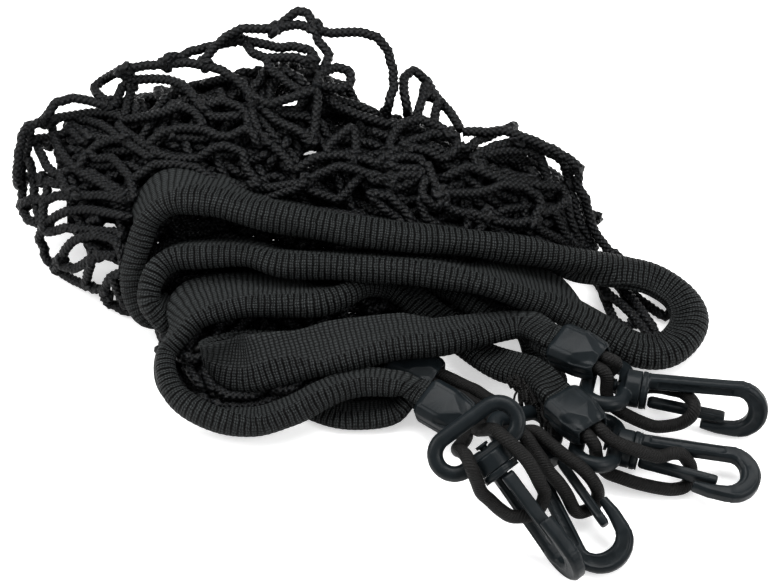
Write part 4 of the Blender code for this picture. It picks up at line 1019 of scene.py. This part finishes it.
def walk(share, steps):
    x = rng.uniform(-150.0, 84.0) if rng.random() < 0.8 else rng.uniform(-150.0, -105.0)
    turn = math.radians(rng.uniform(28.0, 98.0) if rng.random() < 0.5
                        else rng.triangular(60.0, 130.0, 172.0))
    heading, spin, points = rng.uniform(0, 2 * math.pi), 0.0, []
    for _ in range(steps):
        spin = 0.80 * spin + rng.normal(0.0, 0.105)
        heading += spin - 0.03 * math.sin(2 * heading)
        radius = float(space(np.array([x]), np.array([turn]))[0]) * share
        y = np.interp(x, heap_x, middle_y) + radius * math.cos(turn)
        z = MIDDLE + radius * math.sin(turn)
        points.append((x, y, max(z, 3.0)))
        x += STEP * math.cos(heading)
        turn += STEP * math.sin(heading) / max(radius, 14.0)
        left = np.interp(RISE * y + DROP * z, *DENSE_LEFT.T)
        if x < left or x > RIGHT_END:
            heading, x = math.pi - heading, min(max(x, left), RIGHT_END)
        if turn < TURN_LOW or turn > TURN_HIGH:
            heading, turn = -heading, min(max(turn, TURN_LOW), TURN_HIGH)
    return np.array(points)


hidden = [walk(share, int(rng.uniform(55, 85))) for share, count in LAYERS for _ in range(count)]
print(round(sum(len(s) for s in hidden) * STEP / 1000, 1), "m hidden")

# %% [markdown]
# ### Strands under the stack
# The net's edge is held inside the folded border all the way along, so some of the net lies on the
# floor between and behind the runs of the border.  These walks stay inside a patch of the floor.

# %% Floor strands
PATCH = np.array([(-106, 24), (-93, 2), (-92, -22), (-68, -33), (-30, -20), (-8, -12), (9, 4),
    (44, 17), (60, 36), (62, 62), (-106, 66)], float)
AHEAD = 9.0                              # how far a walk feels for the edge of the patch


def in_patch(x, y):
    ax, ay = PATCH.T
    bx, by = np.roll(PATCH, -1, 0).T
    crosses = ((ay > y) != (by > y)) & (x < (bx - ax) * (y - ay) / (by - ay + 1e-9) + ax)
    return crosses.sum() % 2 == 1


def floor_walk(steps):
    x, y, z = 0.0, -99.0, rng.uniform(2.8, 9.0)
    while not in_patch(x, y):
        x, y = rng.uniform(-106, 60), rng.uniform(-30, 62)
    heading, spin, points = rng.uniform(0, 2 * math.pi), 0.0, []
    for _ in range(steps):
        spin = 0.8 * spin + rng.normal(0.0, 0.11)
        heading += spin
        if not in_patch(x + AHEAD * math.cos(heading), y + AHEAD * math.sin(heading)):
            heading += 0.7
        x, y = x + STEP * math.cos(heading), y + STEP * math.sin(heading)
        points.append((x, y, z + math.sin(len(points) / 5.0)))
    return np.array(points)


on_floor = [floor_walk(64) for _ in range(31)]
strands = laid + hidden + on_floor
print("and", len(on_floor), "on the floor")

# %% [markdown]
# ### Letting the strands settle
# The strands are beads at fixed distances.  Each round pulls neighbours back to their distance,
# takes sharp bends out, pushes touching strands apart and keeps hidden strands in the heap's space
# and all strands out of the tapes.  Laid strands are heavy, so the hidden ones give way.

# %% Beads
CORD_WIDE = 4.4
CLOSE, CLEAR_OF_TAPE, CLEAR_OF_FLOOR = 6.5, 2.3, 2.6
beads = np.vstack(strands)
home = beads.copy()
owner = np.concatenate([np.full(len(s), i) for i, s in enumerate(strands)])
place = np.concatenate([np.arange(len(s)) for s in strands])
fixed = owner < len(laid)
loose = ~fixed
limits = [1.0] * len(laid) + [max(share, 0.9) for share, count in LAYERS for _ in range(count)]
limit = np.array(limits + [9.0] * len(on_floor))[owner]      # share of the heap's space it may use
link = np.where(owner[:-1] == owner[1:])[0]
middle_of = link[:-1][link[1:] == link[:-1] + 1] + 1         # beads with a neighbour on both sides
span = np.where(fixed[link], np.linalg.norm(home[link + 1] - home[link], axis=1), STEP)
weight = np.where(fixed, 0.12, 1.0)[:, None]
tape_tree = packed_tree([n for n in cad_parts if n.startswith(("border_tape", "ferrule"))])
print(len(beads), "beads")


# %% Neighbours and tapes
def near_pairs():
    """Pairs of close beads that aren't next to each other on one strand."""
    tree = kdtree.KDTree(len(beads))
    for i, bead in enumerate(beads):
        tree.insert(bead, i)
    tree.balance()
    return np.array([(i, j) for i, bead in enumerate(beads)
                     for _, j, _ in tree.find_range(bead, CLOSE)
                     if j > i and (owner[i] != owner[j] or place[j] - place[i] > 2)])


def leave_tapes():
    """Moves beads that touch or sink into a tape or clamp out of it."""
    for i in range(len(beads)):
        hit, normal, _, away = tape_tree.find_nearest(Vector(beads[i]), 9.0)
        if hit is None:
            continue
        inside = (Vector(beads[i]) - hit).dot(normal) < 0
        if inside or away < CLEAR_OF_TAPE:
            deep = (away if inside else -away) + CLEAR_OF_TAPE
            beads[i] += np.array(normal) * deep * (0.3 if fixed[i] else 0.8)


def spread(moves, index, amount):
    for axis in range(3):
        moves[:, axis] += np.bincount(index, amount[:, axis], len(moves))


def between(i, j):
    """The way from beads i to beads j, as lengths and unit vectors."""
    gap = beads[j] - beads[i]
    size = np.linalg.norm(gap, axis=1, keepdims=True)
    return size, gap / np.maximum(size, 1e-6)


# %% [markdown]
# ### One round of settling
# Pulls, bends and pushes are summed up first and then made together, so that no strand goes before
# another.  After that the hidden beads are drawn back into the heap and out of its openings.

# %% Settling
def pull_and_push():
    moves = np.zeros_like(beads)
    size, way = between(link, link + 1)
    pull = way * (size - span[:, None]) * 0.5
    spread(moves, link, pull)
    spread(moves, link + 1, -pull)
    flat = (beads[middle_of - 1] + beads[middle_of + 1]) / 2 - beads[middle_of]
    spread(moves, middle_of, flat * 0.22)
    i, j = near.T
    size, way = between(i, j)
    push = way * np.minimum(size - CORD_WIDE, 0.0) * 0.42
    spread(moves, i, push * weight[i])
    spread(moves, j, -push * weight[j])
    return moves + np.where(fixed[:, None], (home - beads) * 0.35, 0.0)


def stay_in_heap():
    centre = np.interp(beads[:, 0], heap_x, middle_y)
    y, z = beads[:, 1] - centre, beads[:, 2] - MIDDLE
    far = np.hypot(y, z)
    most = space(beads[:, 0], np.arctan2(z, y)) * limit
    back = 1.0 + 0.5 * (most / np.maximum(far, 1e-6) - 1.0)
    keep = np.where(loose & (far > most) & (z > 0), back, 1.0)
    beads[:, 1], beads[:, 2] = centre + y * keep, MIDDLE + z * keep


def leave_openings():
    high = RISE * beads[:, 1] + DROP * beads[:, 2]
    for x, w, radius in CLEAR:
        dx, dw = beads[:, 0] - x, high - w
        far = np.maximum(np.hypot(dx, dw), 1e-3)
        room = radius + 2.4
        push = np.where(loose & (far < room), (room - far) * 0.5 / far, 0.0)
        beads[:] += np.stack([dx * push, dw * push * RISE, dw * push * DROP], 1)


ROUNDS = 70
for step in range(ROUNDS):
    if step % 5 == 0:
        near = near_pairs()
        leave_tapes()
    beads += np.clip(pull_and_push(), -1.5, 1.5)
    stay_in_heap()
    leave_openings()
    beads[:, 2] = np.maximum(beads[:, 2], CLEAR_OF_FLOOR)
overlap = np.linalg.norm(beads[near[:, 0]] - beads[near[:, 1]], axis=1)
print("settled;", int((overlap < 3.4).sum()), "of", len(overlap), "near pairs still deep")

# %% [markdown]
# ### Braided skin
# The cord is a braid: its surface is a chequer of small lozenges, each a bundle of filaments that
# goes over and under.  Moving alternate points of the section in and out draws those lozenges.

# %% Braided cord
SIDES, PITCH = 8, 1.3
CHEQUER_OUT, CHEQUER_IN = 0.25, -0.23


def braid(points):
    line = smooth_path(points, PITCH)
    step = np.arange(len(line))
    odd = (step[:, None] + np.arange(SIDES)[None, :]) % 2
    radius = (CORD_WIDE / 2 - 0.05 + np.where(odd, CHEQUER_OUT, CHEQUER_IN))[..., None]
    rings = rings_round(line, *carried_frames(line), radius, SIDES)
    return rings, PITCH * step, np.linspace(0.0, math.pi * CORD_WIDE, SIDES + 1)


for part in range(3):
    skin = Skin()
    for i in range(part, len(strands), 3):
        skin.add(*braid(beads[owner == i]))
    piece = skin.build("net_%d" % (part + 1), net_black)

# %% [markdown]
# ### Knots
# Where two strands meet, the net is tied with a lumpy overhand knot about twice the cord's width.
# One knot is a tube round a trefoil; Geometry Nodes sets it on points at the meetings, each turned
# along its strand and a little larger or smaller than the next.

# %% One knot
def knot_mesh(rings=16, sides=6):
    t = np.linspace(0.0, 2 * math.pi, rings, endpoint=False)
    line = np.stack([np.sin(t) + 2 * np.sin(2 * t), np.cos(t) - 2 * np.cos(2 * t),
                     -1.15 * np.sin(3 * t)], 1) * 1.12
    ahead = unit(np.roll(line, -1, 0) - np.roll(line, 1, 0))
    side = unit(np.cross(ahead, line + (0.0, 0.0, 3.0)))
    girth = 1.85 + 0.13 * np.where(np.arange(rings) % 2, 1, -1)[:, None, None]
    verts = rings_round(line, side, np.cross(ahead, side), girth, sides)
    corners = [[(i + a, k + b) for a, b in ((0, 0), (0, 1), (1, 1), (1, 0))]
               for i in range(rings) for k in range(sides)]
    mesh = bpy.data.meshes.new("knot")
    mesh.from_pydata((verts.reshape(-1, 3) * MM).tolist(), [],
                     [[i % rings * sides + k % sides for i, k in face] for face in corners])
    layer = mesh.uv_layers.new(name="cloth")
    layer.data.foreach_set("uv", (np.array(corners) * LOZENGE).ravel().astype(np.float32))
    outward(mesh)
    mesh.shade_smooth()
    return mesh


# %% [markdown]
# ### Where the knots go
# The closest pairs of beads come first, and those of the laid strands before the hidden ones.  No
# two knots are nearer than 17 mm, and strands that run side by side aren't tied.

# %% Meetings
KNOTS_APART, SIDE_BY_SIDE = 17.0, 0.93
taken, turns = [], []
for i, j in near[np.argsort(overlap + np.where(fixed[near].any(axis=1), 0.0, 2.0))]:
    spot = (beads[i] + beads[j]) / 2
    if owner[i] == owner[j] or (taken and np.min(np.linalg.norm(np.array(taken) - spot, axis=1))
                                < KNOTS_APART):
        continue
    a = min(max(i, 1), len(beads) - 2)
    along = unit(beads[a + 1] - beads[a - 1])
    across = unit(beads[min(j + 1, len(beads) - 1)] - beads[j - 1])
    if abs(along.dot(across)) > SIDE_BY_SIDE:
        continue
    taken.append(spot)
    turns.append(tuple(Vector(along).to_track_quat("X", "Z").to_euler()))
points_mesh = bpy.data.meshes.new("meetings")
points_mesh.from_pydata(((np.array(taken) + SHIFT) * MM).tolist(), [], [])
turn_attribute = points_mesh.attributes.new("turn", "FLOAT_VECTOR", "POINT")
turn_attribute.data.foreach_set("vector", np.array(turns, np.float32).ravel())
print(len(taken), "knots")

# %% [markdown]
# ### The tree that ties them
# Its inputs are the points, the knot, its smallest and largest size, how far it may roll about its
# strand, a seed and the finish.  Realize Instances turns the copies into plain faces at the end.

# %% Knots set on points
INPUTS = {"Points": "Geometry", "Knot": "Object", "Smallest": "Float", "Largest": "Float",
          "Roll": "Float", "Seed": "Int", "Finish": "Material"}
VALUES = {"Smallest": 0.86, "Largest": 1.04, "Roll": 6.2832, "Seed": 7}
tree = bpy.data.node_groups.new("knots_on_points", "GeometryNodeTree")
for label, kind in INPUTS.items():
    tree.interface.new_socket(label, in_out="INPUT", socket_type="NodeSocket" + kind)
tree.interface.new_socket("Knots", in_out="OUTPUT", socket_type="NodeSocketGeometry")
tying = Nodes(tree)
given = tying.add("NodeGroupInput")


def random_between(low, high):
    """A number for each point: sockets 2 and 3 are its float ends, and output 1 its value."""
    ends = {2: low, 3: high, "Seed": given["Seed"]}
    return tying.add("FunctionNodeRandomValue", ends)[1]


def as_rotation(euler):
    return tying.add("FunctionNodeEulerToRotation", {"Euler": euler})["Rotation"]


shape = tying.add("GeometryNodeObjectInfo", {"Object": given["Knot"]})["Geometry"]
heading = tying.add("GeometryNodeInputNamedAttribute", {"Name": "turn"}, data_type="FLOAT_VECTOR")
spin = tying.add("ShaderNodeCombineXYZ", {"X": random_between(0.0, given["Roll"])})["Vector"]
turned = tying.add("FunctionNodeRotateRotation", {"Rotation": as_rotation(heading["Attribute"]),
                                                  "Rotate By": as_rotation(spin)})["Rotation"]
turned.node.rotation_space = "LOCAL"
set_down = tying.add("GeometryNodeInstanceOnPoints", {
    "Points": given["Points"], "Instance": shape, "Rotation": turned,
    "Scale": random_between(given["Smallest"], given["Largest"])})["Instances"]
plain = tying.add("GeometryNodeRealizeInstances", {"Geometry": set_down})["Geometry"]
coloured = tying.add("GeometryNodeSetMaterial", {"Geometry": plain, "Material": given["Finish"]})
tying.give(tree.nodes.new("NodeGroupOutput"), {"Knots": coloured["Geometry"]})
print("a tree of", len(tree.nodes), "nodes")


# %% Tied net
def made_plain(piece):
    """Makes the modifiers' result the piece's own mesh, and takes them off."""
    fresh = bpy.data.meshes.new_from_object(
        piece.evaluated_get(bpy.context.evaluated_depsgraph_get()))
    piece.modifiers.clear()
    piece.data, old = fresh, piece.data
    bpy.data.meshes.remove(old)


knots = stand("net_knots", points_mesh)
one_knot = bpy.data.objects.new("one_knot", knot_mesh())
modifier = knots.modifiers.new("knots", "NODES")
modifier.node_group = tree
VALUES.update({"Knot": one_knot, "Finish": net_black.material})
for item in tree.interface.items_tree:
    if item.in_out == "INPUT" and item.name in VALUES:
        modifier[item.identifier] = VALUES[item.name]
made_plain(knots)
bpy.data.objects.remove(one_knot)
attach(knots, "net")
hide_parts("net_heap")

# %% [markdown]
# ## Moulded parts
# Hooks, gates, rings and clamps come out of a mould, so every edge has a small round and the flat
# faces carry shallow relief.  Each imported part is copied, welded and remeshed to an even skin; the
# skin is smoothed, and grooves and panels are pressed in by moving its points in the part's own
# axes.  At the end faces that lie nearly flat together are joined, until a third of them is left.

# %% Remeshed skin
KEPT = 0.34                              # share of the faces that stays


def even_skin(node, name, voxel, rounds):
    """An even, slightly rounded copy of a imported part."""
    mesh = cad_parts[node].data.copy()
    mesh.name = name
    bm = bmesh.new()
    bm.from_mesh(mesh)
    bmesh.ops.remove_doubles(bm, verts=bm.verts, dist=1e-6)
    bm.to_mesh(mesh)
    bm.free()
    piece = stand(name, mesh)
    remesh = piece.modifiers.new("even", "REMESH")
    remesh.mode, remesh.voxel_size = "VOXEL", voxel * MM
    smooth = piece.modifiers.new("round", "SMOOTH")
    smooth.factor, smooth.iterations = 0.5, rounds
    made_plain(piece)
    piece.data.materials.clear()
    piece.data.materials.append(moulded.material)
    piece.data.shade_smooth()
    return piece


def moulded_piece(node, name, voxel, rounds, body, origin, turn, press):
    """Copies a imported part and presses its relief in, in the axes `turn` about `origin`."""
    piece = even_skin(node, name, voxel, rounds)
    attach(piece, body)
    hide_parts(node)
    co = np.zeros(len(piece.data.vertices) * 3)
    piece.data.vertices.foreach_get("co", co)
    local = (co.reshape(-1, 3) / MM - SHIFT - origin) @ turn.T
    press(local)
    piece.data.vertices.foreach_set("co", ((local @ turn + origin + SHIFT) * MM).ravel())
    piece.data.update()
    piece.modifiers.new("fewer", "DECIMATE").ratio = KEPT
    made_plain(piece)
    print(name, len(piece.data.vertices), "points")


def round_off(u, v, gap, sweep):
    """Takes the flats out of a bend swept in straight steps of `gap` degrees about (0, 0)."""
    angle = np.degrees(np.arctan2(v, u))
    past = np.cos(np.radians(np.mod(angle, gap) - gap / 2))
    return np.where(np.abs(angle) < sweep, past / math.cos(math.radians(gap / 2)), 1.0)


def step_in(value, low, high):
    """0 below `low`, 1 above `high`, with soft corners."""
    t = np.clip((value - low) / (high - low), 0.0, 1.0)
    return t * t * (3 - 2 * t)


def strip(across, sides, along, start, end):
    """1 inside a strip that fades out over each of the three pairs of limits."""
    return ((1 - step_in(np.abs(across), *sides)) * step_in(along, *start)
            * (1 - step_in(along, *end)))


# %% [markdown]
# ### Hooks and gates
# The fixed bar has a shallow channel along both faces, which saves plastic, and a groove round the
# collar where it meets the swivel.  Its bend was swept in straight steps, which are rounded off.
# The gate is a thin bar with a small channel of its own.

# %% Hooks and gates
BEND_X, BEND_Y, BEND_RADIUS = 40.6, -1.0, 9.4


def press_hook(local):
    x, y, z = local.T
    line = np.interp(x, [1.5, 12.0, 26.0, 37.0, 42.0], [4.9, 6.0, 7.5, 8.7, 9.3])
    channel = strip(y - line, (1.15, 1.75), x, (6.0, 7.2), (37.0, 38.4))
    face = step_in(np.abs(z), 2.2, 2.75)
    z -= np.sign(z) * channel * face * 0.75
    radial = np.hypot(y, z)
    collar = np.exp(-((x - 2.25) / 0.35) ** 2) * step_in(radial, 7.0, 7.8)
    local[:, 1:] *= (1 - 0.06 * collar)[:, None]
    x -= 0.3 * (1 - step_in(x, 0.1, 1.4)) * step_in(radial, 3.0, 4.0)      # it meets the swivel
    head = (x < -10.5) & (radial > 2.1)                                    # round head of the post
    local[head, 1:] *= (2.8 / radial[head])[:, None]
    dx, dy = x - BEND_X, y - BEND_Y
    around = np.hypot(dx, dy)
    even = 1 + (round_off(dx, dy, 22.0, 77.0) - 1) * step_in(around, 4.0, 6.0)
    rim = (1 - step_in(np.abs(around - BEND_RADIUS), 1.5, 2.2)) * step_in(x, 42.0, 45.0) * face
    z -= np.sign(z) * rim * 0.35
    x[:], y[:] = BEND_X + dx * even, BEND_Y + dy * even


def press_gate(local):
    x, y, z = local.T
    middle = np.interp(x, [5.25, 15.25, 35.5], [-5.2, -5.47, -6.1])
    channel = strip(y - middle, (0.7, 1.2), x, (9.0, 10.0), (32.0, 33.0))
    z -= np.sign(z) * channel * step_in(np.abs(z), 2.0, 2.6) * 0.4


for tag, corner in CORNERS.items():
    seam, turn = np.array(corner["seam"], float), np.array(axes(corner["hook"], corner["bar"]))
    moulded_piece("snap_hook_" + tag, "hook_" + tag, 0.42, 3, "net", seam, turn, press_hook)
    moulded_piece("gate_" + tag, "tongue_skin_" + tag, 0.36, 3, "tongue_" + tag, seam, turn,
                  press_gate)

# %% [markdown]
# ### Rings and clamps
# The ring is a plain round rod, so it only needs its skin and rounder ends.  The clamp has a raised
# panel that runs to a point at the elastic's end, and a parting groove round its edge where its
# halves meet.

# %% Rings and clamps
RING_X, RING_END = 14.9, 11.0            # middle of the ring, and centre of each of its round ends


def press_ring(local):
    for side in (1, -1):
        v, u = side * (local[:, 0] + RING_X), side * local[:, 1] - RING_END
        even = np.where(u > 0.0, round_off(u, v, 22.5, 90.0), 1.0)
        local[:, 0], local[:, 1] = side * v * even - RING_X, side * (u * even + RING_END)


def press_clamp(local):
    x, y, z = local.T
    point = 5.6 - np.clip((x - 1.0) * 0.72, 0.0, 5.6)
    panel = (1 - step_in(np.abs(y), point - 0.5, point + 0.1)) * step_in(x, -9.2, -8.6)
    fall = np.clip(np.abs(y) - point, 0.0, 4.0) * 0.42 * step_in(x, -1.0, 2.5)
    z += np.sign(z) * (panel * 0.25 - fall) * step_in(np.abs(z), 4.2, 5.4)
    groove = np.exp(-(z / 0.42) ** 2) * step_in(np.abs(y), 6.8, 7.6)
    y -= np.sign(y) * groove * 0.55


for tag, corner in CORNERS.items():
    seam, turn = np.array(corner["seam"], float), np.array(axes(corner["hook"], corner["ring"]))
    moulded_piece("swivel_ring_" + tag, "ring_" + tag, 0.5, 8, "net", seam, turn, press_ring)
    centre, *turn = clamp_frame(tag)
    moulded_piece("ferrule_" + tag, "clamp_" + tag, 0.42, 3, "net", centre, np.array(turn),
                  press_clamp)

# %% Finish
made_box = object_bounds()
for label, box in (("packed", cad_box), ("made", made_box)):
    print(label, "box in millimetres:", [[round(c / MM, 1) for c in v] for v in box])
